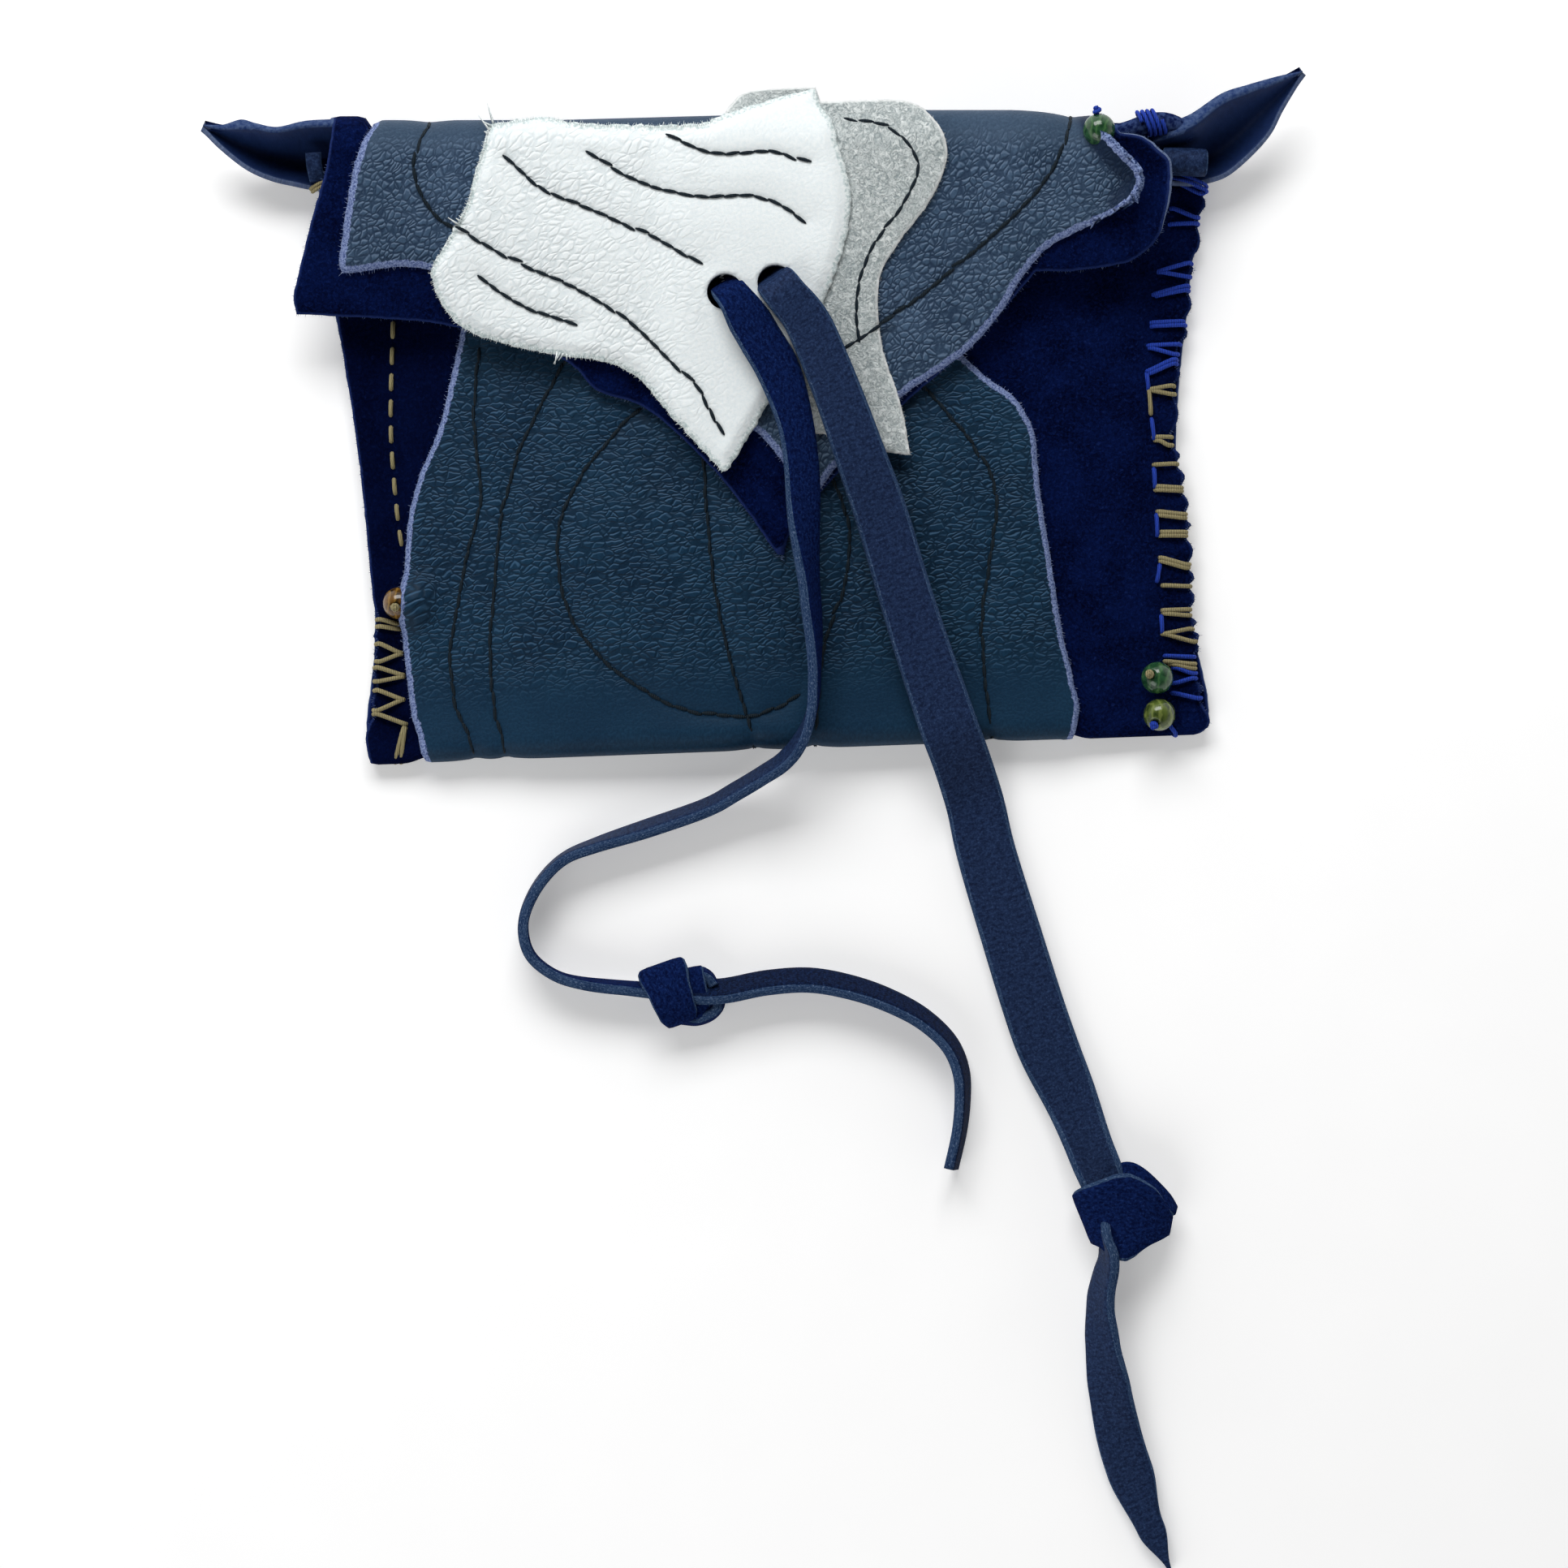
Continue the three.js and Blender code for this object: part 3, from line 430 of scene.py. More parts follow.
lining_left = [(-105.6, 48), (-102.2, 25.9), (-97.7, -1.9), (-95.1, -24.2), (-93.3, -43.3)]
lining_left += [*scalloped(LEFT_TAN, -1.0), (-94.7, -75.6), (-94.9, -79)]
right_strands = [*UPPER_BLUE, *TAN, *LOWER_TAN, *LOWER_BLUE]
lining_right = [(110.6, -76.4), (112.1, -73.4), *scalloped(right_strands, 1.6)[::-1]]
LEFT_TOP, ROLL_LEFT, ROLL_RIGHT = (-107.1, POUCH_END), 85.4, 106
RIGHT_TOP = (ROLL_LEFT, POUCH_END)
lining_outline = [(108, -2), (108, -2), (-106, -2), (-106, -2), *on_front(lining_left)]
lining_outline += [(-93.8, -FRONT_RUN - 4), (-95, -FRONT_RUN - 16), (-93, -FRONT_RUN - 40), (-96, -FRONT_RUN - 80)]
lining_outline += [(-104, -FRONT_RUN - 120), LEFT_TOP, LEFT_TOP, RIGHT_TOP, RIGHT_TOP, (ROLL_LEFT, POUCH_END - 18)]
lining_outline += [(ROLL_LEFT, POUCH_END - 18), (ROLL_RIGHT, POUCH_END - 18), (ROLL_RIGHT, POUCH_END - 18)]
lining_outline += [(110.6, POUCH_END), (107.5, -FRONT_RUN - 120), (104, -FRONT_RUN - 80), (107, -FRONT_RUN - 40)]
lining_outline += [(112, -FRONT_RUN - 14), (109.8, -FRONT_RUN - 4), *on_front(lining_right)]
pulls = [on_front(strand) for strand in [*UPPER_BLUE[2:], *TAN, *LOWER_TAN, *LOWER_BLUE, *LEFT_TAN]]
lining = hide(
    "pouch_lining", lining_outline, 1.4, pouch_form, SUEDE_FACES, [pouch_suede, navy_suede, nap_rim],
    seams=pulls, skive=SUEDE_SKIVE, wild=0.15, ends=(POUCH_END + 4, 5),
)
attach(lining, "pouch")
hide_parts("pouch_suede")
lining_fringe = fringe(
    "pouch_lining_fringe", [on_front(lining_left), on_front(lining_right)], pouch_form, 0, navy_fuzz, 0.6
)
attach(lining_fringe, "pouch")

# ---- Ears
# The free upper corners of the back wall curl forward into cupped points. Their smooth side faces
# up, and the nap shows as a paler band along the rim.
def smooth_side(name, deep, mid, rim, band):
    """The waxed side of the suede: dark, faintly shiny, with a napped rim. Its grain is about a millimetre."""
    made, tree, shader = material(name)
    flat = put(tree, "Attribute", out="Vector", attribute_name="flat")
    grain = put(tree, "TexNoise", {"Vector": flat, "Scale": 0.9, "Detail": 6.0, "Roughness": 0.7})
    edge = put(tree, "Attribute", out="Fac", attribute_name="edge")
    edge = put(tree, "Math", {0: edge, 1: grain}, **PLUS)
    nap = put(tree, "MapRange", {0: edge, 1: band + 0.75, 2: band + 0.35}, **SMOOTH)
    tuft = layered(tree, mid, [(grain, 0.35, 0.65, 1, rim)])
    colour = put(tree, "Mix", {0: grain, 6: deep, 7: mid}, 2, **COLOURS)
    colour = put(tree, "Mix", {0: nap, 6: colour, 7: tuft}, 2, **COLOURS)
    relief = put(tree, "Bump", {"Strength": 0.5, "Distance": 0.0003, "Height": grain})
    rough = put(tree, "MapRange", {0: nap, 3: 0.5, 4: 0.95}, **SMOOTH)
    join(tree, shader, {"Base Color": colour, "Normal": relief, "Roughness": rough, "Specular IOR Level": 0.1})
    return made


ear_side = smooth_side("navy suede smooth side", "#0d1a3a", "#1d315e", "#46587c", 0.6)


def ear(name, low, valley, crest, outer):
    """A cupped corner. Four lines run from its root to its tip, and the suede passes over them in turn."""
    rows, columns = 48, 32

    def spread(points, count):
        line = drawn(points, 0.15)
        at = np.linspace(0, len(line) - 1, count + 1)
        return np.column_stack([np.interp(at, np.arange(len(line)), line[:, k]) for k in range(3)])

    lines = [spread(line, rows) for line in (low, valley, crest, outer)]
    sections = [spread([tuple(line[row]) for line in lines], columns) for row in range(rows + 1)]
    bm = bmesh.new()
    bmesh.ops.create_grid(bm, x_segments=rows, y_segments=columns, size=0.5)
    flat, edge = [], []
    for vert in bm.verts:
        row, column = round((vert.co.x + 0.5) * rows), round((vert.co.y + 0.5) * columns)
        point, top = sections[row][column], np.argmax(sections[row][:, 2])
        vert.co = point * MM
        flat.append((*point[:2], 0))
        gaps = np.linalg.norm(sections[row][[0, top]] - point, axis=1)
        edge.append(0 if column >= top else min(gaps[0] + 0.4, gaps[1]))
    bmesh.ops.recalc_face_normals(bm, faces=bm.faces)
    if sum(face.normal.z for face in bm.faces) < 0:
        bmesh.ops.reverse_faces(bm, faces=bm.faces)
    mesh = meshed(name, bm)
    store(mesh, "flat", np.array(flat))
    store(mesh, "edge", np.array(edge))
    piece = shown(name, mesh, [ear_side, navy_suede, nap_rim])
    thickened(piece, SUEDE)
    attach(piece, "pouch")
    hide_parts("pouch_suede")
    return piece


left_ear = ear(
    "left_ear",
    [(-100, 56, 7), (-107.9, 57.1, 8.5), (-111.9, 57.9, 9), (-117, 59, 10), (-123, 61.5, 11), (-129, 66.1, 12.5),
     (-133.4, 70.6, 13.2)],
    [(-100, 64, 3), (-108, 64, 3), (-117, 64.6, 5), (-125, 67, 9), (-133.5, 70.8, 13)],
    [(-99, 69.6, 17.5), (-108.1, 69.4, 18), (-115.2, 68.4, 18), (-120.6, 69.2, 17), (-128.7, 69.9, 15),
     (-133.6, 71, 13.6)],
    [(-99, 72.2, 16), (-108.1, 71.6, 17), (-115.2, 70.1, 17), (-120.6, 71.2, 16), (-124.2, 72.2, 15.2),
     (-128.7, 71.1, 14.2), (-133.7, 71.2, 13.4)],
)
right_ear = ear(
    "right_ear",
    [(100, 58.6, 6.6), (107.5, 58.2, 8), (110.6, 58.6, 9), (115.5, 60.2, 10.5), (121.5, 65.2, 12),
     (125.5, 69.7, 13), (128, 74.7, 13.5), (131.1, 79.8, 14), (133.4, 83.6, 14.8)],
    [(99, 63, 3), (108, 63.6, 3), (116, 67.6, 6), (124, 75, 10.5), (133.3, 83.7, 14.6)],
    [(97, 66, 17), (103.2, 67.5, 19), (107.3, 69.5, 20), (114.5, 75.3, 19), (125, 79.9, 17.2),
     (133.4, 83.8, 15.2)],
    [(97, 70, 15), (104.4, 72.4, 17.4), (107.5, 74, 18), (113.7, 78.2, 17.5), (119.9, 80.3, 17),
     (127.2, 82.5, 16), (133.5, 84, 15)],
)

# ---- Front leather
# A panel of deep blue-green leather with a wrinkled grain is sewn over the front. It wraps the bottom
# and goes up the back, and its sides are cut raw, so the pale flesh of the hide shows along them.
LEATHER_FACES = (2.6, 1.0)


def pebbles(tree, flat, cell, slant, step, ramp):
    """Grain as a height, and how far each spot of it is turned towards the light beyond the top fold; the leather
    colours paint light and shade from this.
    """
    warp = put(tree, "TexNoise", {"Vector": flat, "Scale": 0.2, "Detail": 2.0, "Roughness": 0.5}, "Color")
    push = put(tree, "VectorMath", {0: warp, 1: (3.0, 3.0, 0.0)}, **TIMES)
    moved = put(tree, "VectorMath", {0: flat, 1: push}, **PLUS)

    def height(shift):
        at = put(tree, "VectorMath", {0: moved, 1: (0.0, shift, 0.0)}, **PLUS)
        turned = {"Vector": at, "Rotation": (0, 0, math.radians(slant)), "Scale": (*cell, 1)}
        laid = put(tree, "Mapping", turned, vector_type="TEXTURE")
        net = {"Vector": laid, "Scale": 1.0, "Randomness": 0.95}
        far = put(tree, "TexVoronoi", net, "Distance", feature="DISTANCE_TO_EDGE")
        return put(tree, "MapRange", {0: far, 1: 0.0, 2: ramp}, **SMOOTH)

    return height(0.0), put(tree, "Math", {0: height(-step), 1: height(step)}, **MINUS)


def leather(name, tones, shares, raw, cell, slant, step, ramp, band, smooth, painted_fold_tone, strength, shine):
    """Grained leather: pebbles with painted shade in their creases and on the side turned from the light, a painted
    highlight on the side turned to it, and a fibrous band where it is cut.
    """
    # The cell is a pebble's length and width in millimetres; the pores are half a millimetre, and the broad
    # clouds of the dye more than a centimetre
    # Tones: dark is the grain's deep tone and also its painted shade; crest is the colour of the painted highlight
    # on the pebbles' sides turned to the light.
    dark, mid, top, crest = tones
    made, tree, shader = material(name)
    flat = put(tree, "Attribute", out="Vector", attribute_name="flat")
    hill, lit = pebbles(tree, flat, cell, slant, step, ramp)
    fine = put(tree, "TexNoise", {"Vector": flat, "Scale": 1.6, "Detail": 4.0, "Roughness": 0.65})
    broad = put(tree, "TexNoise", {"Vector": flat, "Scale": 0.06, "Detail": 4.0})
    height = put(tree, "SeparateXYZ", {0: flat}, 1)
    # Clouds of the dye, then the fold tone where the grain lies smooth over a fold, which is painted light on the
    # front's bottom fold and painted shade on the flap's top fold, then the pores.
    colour = layered(tree, mid, [
        (broad, 0.35, 0.65, 1, top), (height, *smooth, 0.5, painted_fold_tone), (fine, 0.38, 0.62, 0.3, dark),
    ])
    worn = put(tree, "MapRange", {0: height, 1: smooth[0], 2: smooth[1], 3: 1.0, 4: 0.08}, **SMOOTH)
    patchy = put(tree, "TexNoise", {"Vector": flat, "Scale": 0.17, "Detail": 3.0})
    patchy = put(tree, "MapRange", {0: patchy, 1: 0.35, 2: 0.62, 3: 0.75, 4: 1.0}, **SMOOTH)
    depth = put(tree, "Math", {0: worn, 1: patchy}, **TIMES)
    # Painted shade in the creases and on the pebbles' sides turned from the lamp beyond the top fold, and a painted
    # highlight in the crest tone on the sides turned to it.
    crevice, lee, sunny = shares
    grain = [(hill, 0.75, 0.0, crevice, dark), (lit, -0.05, -0.8, lee, dark), (lit, 0.05, 0.8, sunny, crest)]
    colour = layered(tree, colour, grain, depth)
    # Painted shade: the leather goes dark where its corner stands up, standing in for the shadow in the hollow
    # behind the raised edge.
    painted_hollow_shade = put(tree, "Attribute", out="Fac", attribute_name="turned")
    colour = layered(tree, colour, [(painted_hollow_shade, 0.3, 0.8, 0.85, dark)])
    fibre = put(tree, "TexNoise", {"Vector": flat, "Scale": 1.9, "Detail": 4.0, "Roughness": 0.8})
    waver = put(tree, "TexNoise", {"Vector": flat, "Scale": 0.9, "Detail": 4.0, "Roughness": 0.7})
    waver = put(tree, "Math", {0: waver, 1: 1.6}, **TIMES)
    edge = put(tree, "Attribute", out="Fac", attribute_name="edge")
    edge = put(tree, "Math", {0: edge, 1: waver}, **PLUS)
    cut = put(tree, "MapRange", {0: edge, 1: band + 0.95, 2: band + 0.7}, **SMOOTH)
    pale = layered(tree, raw[0], [(fibre, 0.36, 0.62, 1, raw[1])])
    colour = put(tree, "Mix", {0: cut, 6: colour, 7: pale}, 2, **COLOURS)
    whole = put(tree, "Math", {0: 1.0, 1: cut}, **MINUS)
    whole = put(tree, "Math", {0: depth, 1: whole}, **TIMES)
    rise = put(tree, "Math", {0: hill, 1: whole}, **TIMES)
    frayed = put(tree, "Math", {0: fibre, 1: cut}, **TIMES)
    for value, share in ((fine, 0.3), (frayed, 1.6)):
        part = put(tree, "Math", {0: value, 1: share}, **TIMES)
        rise = put(tree, "Math", {0: rise, 1: part}, **PLUS)
    relief = put(tree, "Bump", {"Strength": strength, "Distance": 0.0005, "Height": rise})
    rough = put(tree, "MapRange", {0: cut, 3: 0.48, 4: 0.95}, **SMOOTH)
    gloss = put(tree, "MapRange", {0: cut, 3: shine, 4: 0.02}, **SMOOTH)
    join(tree, shader, {"Base Color": colour, "Normal": relief, "Roughness": rough, "Specular IOR Level": gloss})
    return made


flesh = suede("blue leather flesh side", "#1a2743", "#2b3b5c", "#4a5b80", 0.8)
raw_edge = fuzz("blue leather cut edge", "#22325c", "#7f91ba", 1700.0)
leather_fuzz = fuzz("blue leather fibres", "#4c5e92", "#a3b1d4")
RAW = ("#34467c", "#94a4cc")
teal_leather = leather(
    "blue-green wrinkled leather", ("#071724", "#112c43", "#16354d", "#456a8b"), (0.36, 0.4, 0.47), RAW,
    cell=(2.6, 1.25), slant=10, step=0.16, ramp=0.2, band=1.4, smooth=(-112, -128), painted_fold_tone="#193852",
    strength=0.35, shine=0.1,
)
panel_left = [(-67.5, 40), (-70.8, 22.3), (-73.8, 8.1), (-76.6, -2.9), (-81.5, -14.8), (-83.9, -24.7)]
panel_left += [(-85.1, -40.1), (-85.5, -51.4), (-84.5, -63.2), (-83.3, -73)]
panel_right = [(79.8, -71), (78.7, -66), (75.3, -51.4), (72.1, -32.4), (69.6, -16.9), (68.6, -4.8)]
panel_right += [(66.2, 1.1), (62.7, 5.8), (57.3, 9.4), (51.4, 14.7), (26, 40)]
FAR = FRONT_RUN + BOTTOM_RUN
panel_outline = [*on_front(panel_left), (-80.8, -FRONT_RUN - 4), (-80, -FAR - 40), (-86, -FAR - 98)]
panel_outline += [(-91, POUCH_END), (-91, POUCH_END), (84, POUCH_END), (84, POUCH_END), (82, -FAR - 98)]
panel_outline += [(78, -FAR - 40), (78.9, -FRONT_RUN - 4), *on_front(panel_right), on_front(panel_right)[-1]]
panel_outline += [on_front(panel_left)[0]]
PANEL_LINES = [
    [(-66.4, 17.2), (-67.5, 6), (-67.9, -1.1), (-66, -16.9), (-67.1, -24.8), (-70.1, -36.6), (-72.5, -48.5),
     (-74, -59.1), (-72.5, -70), (-69.5, -77), (-67.6, -84)],
    [(-44, 16), (-46.8, 11.6), (-56.6, -8.1), (-61, -24.9), (-63.5, -47.3), (-63.9, -58), (-62.7, -72),
     (-61.2, -77), (-60.4, -84)],
    [(-27, 2), (-31, -1.3), (-40.8, -13.1), (-46.4, -24.9), (-47.3, -33.8), (-44, -48.5), (-33.9, -60.9),
     (-19.2, -70), (-5.4, -72.4), (3.5, -71.5), (11.3, -66.8)],
    [(-13, -3), (-11.7, -13.1), (-9.3, -40.7), (-5, -60), (-0.5, -75), (1.2, -82)],
    [(16, -8), (20.2, -17), (23.5, -26.9), (22.2, -40.7), (17.2, -56.4), (15.3, -75), (15, -82)],
    [(40, 9), (45.8, 2.7), (57.6, -13.1), (58.8, -24.9), (55.7, -48.5), (57.6, -72), (58.8, -80)],
]
panel_seams = [on_front(line) for line in PANEL_LINES]
LEFT_BEAD = (-86.6, -44.9, 7.8)


def panel_form(x, down):
    """The front leather lies on the suede and rises over the bead beside its left edge."""
    laid = pouch_form(x, down)
    near = ((x - LEFT_BEAD[0] - 3.2) / 4) ** 2 + ((laid[:, 1] - LEFT_BEAD[1]) / 4.5) ** 2
    laid[:, 2] += 5.2 * np.exp(-near) * (down > -FRONT_RUN)
    return laid


panel = hide(
    "front_leather", panel_outline, 1.2, panel_form, LEATHER_FACES, [teal_leather, flesh, raw_edge],
    seams=panel_seams, skive=(1.8, 0.8), wild=0.2, ends=(POUCH_END + 4, -10),
)
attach(panel, "pouch")
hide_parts("pouch_leather")
panel_fringe = fringe(
    "front_leather_fringe", [on_front(panel_left), on_front(panel_right)], panel_form, 1.8, leather_fuzz, 0.7
)
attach(panel_fringe, "pouch")

# ---- Machine stitching on the front
# A sewing machine runs black thread through both layers in free curves. Each stitch is a short
# strand that dips into the leather at both ends.
def thread_finish(name, deep, pale, pitch):
    """Twisted thread: soft, with its ply showing as bands about a third of the pitch (in mm) apart."""
    made, tree, shader = material(name)
    place = put(tree, "TexCoord", out="Object")
    ply = {"Vector": place, "Scale": 1000 / pitch, "Distortion": 3.0, "Detail": 2.0}
    ply = put(tree, "TexWave", ply, "Fac")
    hairs = put(tree, "TexNoise", {"Vector": place, "Scale": 2500.0, "Detail": 3.0})
    colour = put(tree, "Mix", {0: ply, 6: deep, 7: pale}, 2, **COLOURS)
    relief = put(tree, "Bump", {"Strength": 0.6, "Distance": 0.0002, "Height": ply})
    rough = put(tree, "MapRange", {0: hairs, 1: 0.3, 2: 0.7, 3: 0.6, 4: 0.85}, **SMOOTH)
    join(tree, shader, {"Base Color": colour, "Normal": relief, "Roughness": rough, "Specular IOR Level": 0.25})
    return made


black_thread = thread_finish("black cotton thread", "#020b14", "#0a202c", 1.6)


def stitched(name, lines, form, face, body, pitch=3.6, thick=0.48):
    """Rows of machine stitches along lines on a form, as one piece. Each lies a little askew."""
    bm = bmesh.new()
    for line in lines:
        holes = drawn(line, pitch)
        spots = raised(form, holes, np.full(len(holes), face))
        for first, last in zip(spots, spots[1:]):
            ahead = Vector(last - first)
            askew = Vector((-ahead.y, ahead.x, 0)) * 0.15 * noise.noise(Vector(first) * 0.4)
            size = Matrix.Diagonal((thick, thick, ahead.length * 0.56, 1))
            turn = (ahead + 1.6 * askew).to_track_quat("Z", "Y").to_matrix().to_4x4()
            at = Matrix.Translation(Vector((first + last) / 2) + askew)
            bmesh.ops.create_uvsphere(bm, u_segments=8, v_segments=6, radius=1, matrix=at @ turn @ size)
    bmesh.ops.scale(bm, vec=(MM, MM, MM), verts=bm.verts)
    piece = shown(name, meshed(name, bm), [black_thread])
    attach(piece, body)
    return piece


stitched("front_machine_stitching", panel_seams, pouch_form, 1.95, "pouch")

# ---- Whip stitches
# Blue and tan waxed thread is sewn by hand over the side edges, mostly in doubled strands that come
# up through a needle hole, cross the margin and go round the edge to the back.
blue_thread = thread_finish("blue waxed thread", "#0c2474", "#2249bf", 1.4)
tan_thread = thread_finish("tan waxed thread", "#6d6648", "#a89c74", 1.4)
WHIP_RADIUS, MARGIN_TOP, MARGIN_UNDER = 0.55, 5.65, 1.35


def heading(line):
    """Which way a line goes at each of its points."""
    ahead = np.gradient(line, axis=0)
    return ahead / np.linalg.norm(ahead, axis=1)[:, None]


def tube(bm, route, radius, sides=8):
    """A round strand along a route: a grid rolled up, with its seam merged."""
    line = drawn([tuple(point) for point in route], 0.45)
    ahead = heading(line)
    side = np.cross(ahead[0], (0.3, 0.2, 1))
    rings = []
    for point, way in zip(line, ahead):
        side = side - way * (side @ way)
        side /= np.linalg.norm(side)
        turns = np.linspace(0, 2 * np.pi, sides + 1)[:, None]
        rings.append(point + radius * (np.cos(turns) * side + np.sin(turns) * np.cross(way, side)))
    rows = len(line) - 1
    grid = bmesh.ops.create_grid(bm, x_segments=rows, y_segments=sides, size=0.5)["verts"]
    for vert in grid:
        vert.co = rings[round((vert.co.x + 0.5) * rows)][round((vert.co.y + 0.5) * sides)] * MM
    bmesh.ops.remove_doubles(bm, verts=grid, dist=1e-7)


def strands(name, routes, radius, finish, body, *nodes):
    """A piece made of round strands, which takes the place of the given solids."""
    bm = bmesh.new()
    for route in routes:
        tube(bm, route, radius)
    bmesh.ops.holes_fill(bm, edges=[edge for edge in bm.edges if edge.is_boundary])
    bmesh.ops.recalc_face_normals(bm, faces=bm.faces)
    piece = shown(name, meshed(name, bm), [finish])
    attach(piece, body)
    if nodes:
        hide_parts(*nodes)
    return piece


def whipped(strand, following):
    """One strand from its hole over the edge and along the back to the next hole."""
    (hole_x, hole_y), (edge_x, edge_y) = strand
    out = math.copysign(1, edge_x - hole_x)
    next_x, next_y = following[0]
    return [
        (hole_x, hole_y, MARGIN_UNDER + 1), (hole_x + 0.1 * out, hole_y, MARGIN_TOP - 0.9),
        (hole_x + 1.2 * out, hole_y + 0.15 * (edge_y - hole_y), MARGIN_TOP),
        (edge_x - 1 * out, edge_y, MARGIN_TOP - 0.1), (edge_x + 0.25 * out, edge_y, MARGIN_TOP - 1.3),
        (edge_x + 0.2 * out, edge_y, MARGIN_UNDER + 0.9), (edge_x - 1 * out, edge_y, MARGIN_UNDER),
        (next_x, next_y, MARGIN_UNDER),
    ]


def seam(name, sewn, finish, *nodes, extra=()):
    """A whipped seam: each strand runs on along the back to the next one's hole."""
    routes = [whipped(one, after) for one, after in zip(sewn, [*sewn[1:], sewn[-1]])]
    return strands(name, [*routes, *extra], WHIP_RADIUS, finish, "pouch", *nodes)


def running(dashes):
    """Short stitches that lie along the margin between two holes."""
    routes = []
    deep, near = MARGIN_TOP - 1.6, MARGIN_TOP - 0.3
    for (ax, ay), (bx, by) in dashes:
        middle = ((ax + bx) / 2, (ay + by) / 2, MARGIN_TOP + 0.15)
        routes.append([(ax, ay, deep), (ax, ay, near), middle, (bx, by, near), (bx, by, deep)])
    return routes


BLUE_DASHES = [((96.5, 11.3), (96.9, 7.9)), ((97.7, 0.2), (98.3, -4.2)), ((98.3, -12), (98.5, -16))]
BLUE_DASHES += [((98.9, -23.3), (99.1, -27.9)), ((99.7, -35.6), (99.1, -39.2)), ((100.1, -48.1), (100.3, -51.7))]
TAN_DASH = [((97.1, 7.3), (97.5, 1.8))]
BOTTOM_BLUE = [[(102, -74.4, 5), (102.6, -75.4, 5.6), (103.6, -76.6, 4.6), (103.8, -77.2, 3), (103.4, -76.8, 1.3)]]
seam("upper_blue_whip_stitches", UPPER_BLUE, blue_thread, "right_upper_blue_thread", extra=running(BLUE_DASHES))
seam("tan_whip_stitches", TAN, tan_thread, "right_tan_thread", extra=running(TAN_DASH))
seam("lower_tan_whip_stitches", LOWER_TAN, tan_thread)
seam("lower_blue_whip_stitches", LOWER_BLUE, blue_thread, "right_lower_blue_thread", extra=BOTTOM_BLUE)
left_line = drawn([(-88.2, 24), (-88.8, 1.5), (-88.2, -12), (-86.8, -26), (-85.6, -33)], 0.1)
DASH = 32  # steps of the line, so 3.2 mm, with a gap as long
starts = range(2, len(left_line) - DASH - 2, 2 * DASH)
left_dashes = [(tuple(left_line[i]), tuple(left_line[i + DASH])) for i in starts]
LEFT_BOTTOM = [
    [(-85.4, -75, 4.6), (-85.8, -76, 5.7), (-87.4, -82, 4.9), (-87.9, -83.8, 3.2), (-87.6, -83.4, 1.3)],
    [(-85.2, -75.3, 4.6), (-85.4, -76.4, 5.7), (-86.2, -82, 4.9), (-86.5, -83.8, 3.2), (-86.3, -83.4, 1.3)],
]
left_extra = [*running(left_dashes), *LEFT_BOTTOM]
seam("left_tan_whip_stitches", LEFT_TAN, tan_thread, "left_tan_thread", extra=left_extra)

# ---- Rolled corner
# Beside the flap the top edge of the back wall is rolled up by hand, and blue thread is wound four times
# round the roll. Two more turns of it bind the corner of the side seam below.
rolled_suede = fuzz("navy suede roll", "#0a1640", "#33446e")
ROLL_RADIUS, BINDING_REACH = 2.4, 2.8
ROLL = [(86, 68, 15.5), (90.9, 69.1, 17.6), (95.2, 70.6, 18.2), (98.8, 71.2, 18.2), (101.8, 70.6, 17.6)]
ROLL += [(106, 68.6, 14.5)]
roll = strands("rolled_top_edge", [ROLL], ROLL_RADIUS, rolled_suede, "pouch")
winding = []
for k in range(49):
    turn, along = k * math.pi / 6, k / 48
    out, up = BINDING_REACH * math.sin(turn), BINDING_REACH * math.cos(turn)
    winding.append((94 + 4.8 * along - 1.3 * math.sin(turn), 70.6 + 0.6 * along + out, 18.2 + up))
strands("roll_binding", [winding], 0.5, blue_thread, "pouch")
corner_wraps = []
for low in (0, 1.4):
    lower = 0.8 * low
    corner_wraps.append([
        (100.4, 60.8 - low, 8.5), (102.6, 60 - low, 11), (106, 58.8 - lower, 11.6), (109.6, 57.4 - lower, 10.6),
        (110.9, 56.8 - lower, 8.6), (110.4, 56.6 - lower, 6),
    ])
strands("corner_binding", corner_wraps, 0.45, blue_thread, "pouch")

# ---- Seam beads
# Four round stone beads about 8 mm across are sewn on, each by a thread that passes through its bore
# and is knotted on top.
def stone(name, deep, mid, pale):
    """Polished stone: clouds of about 4 mm and broken bands about 2 mm apart, under a clear shine."""
    made, tree, shader = material(name)
    place = put(tree, "TexCoord", out="Object")
    cloud = put(tree, "TexNoise", {"Vector": place, "Scale": 260.0, "Detail": 5.0, "Distortion": 1.6})
    band = put(tree, "TexWave", {"Vector": place, "Scale": 160.0, "Distortion": 9.0, "Detail": 3.0}, "Fac")
    colour = layered(tree, deep, [(cloud, 0.35, 0.65, 1, mid), (band, 0.65, 1.0, 0.4, pale)])
    rough = put(tree, "MapRange", {0: cloud, 1: 0.2, 2: 0.8, 3: 0.1, 4: 0.22}, **SMOOTH)
    join(tree, shader, {"Base Color": colour, "Roughness": rough, "IOR": 1.54})
    return made


green_stone = stone("green stone", "#14361f", "#2a5232", "#4f7a45")
olive_stone = stone("olive stone", "#2c3a16", "#59682c", "#8b974e")
brown_stone = stone("brown banded stone", "#2c1d0c", "#6b4a1c", "#a98439")
BEAD_RADIUS, BORE_RADIUS, KNOT_RADIUS = 3.9, 1.02, 0.52


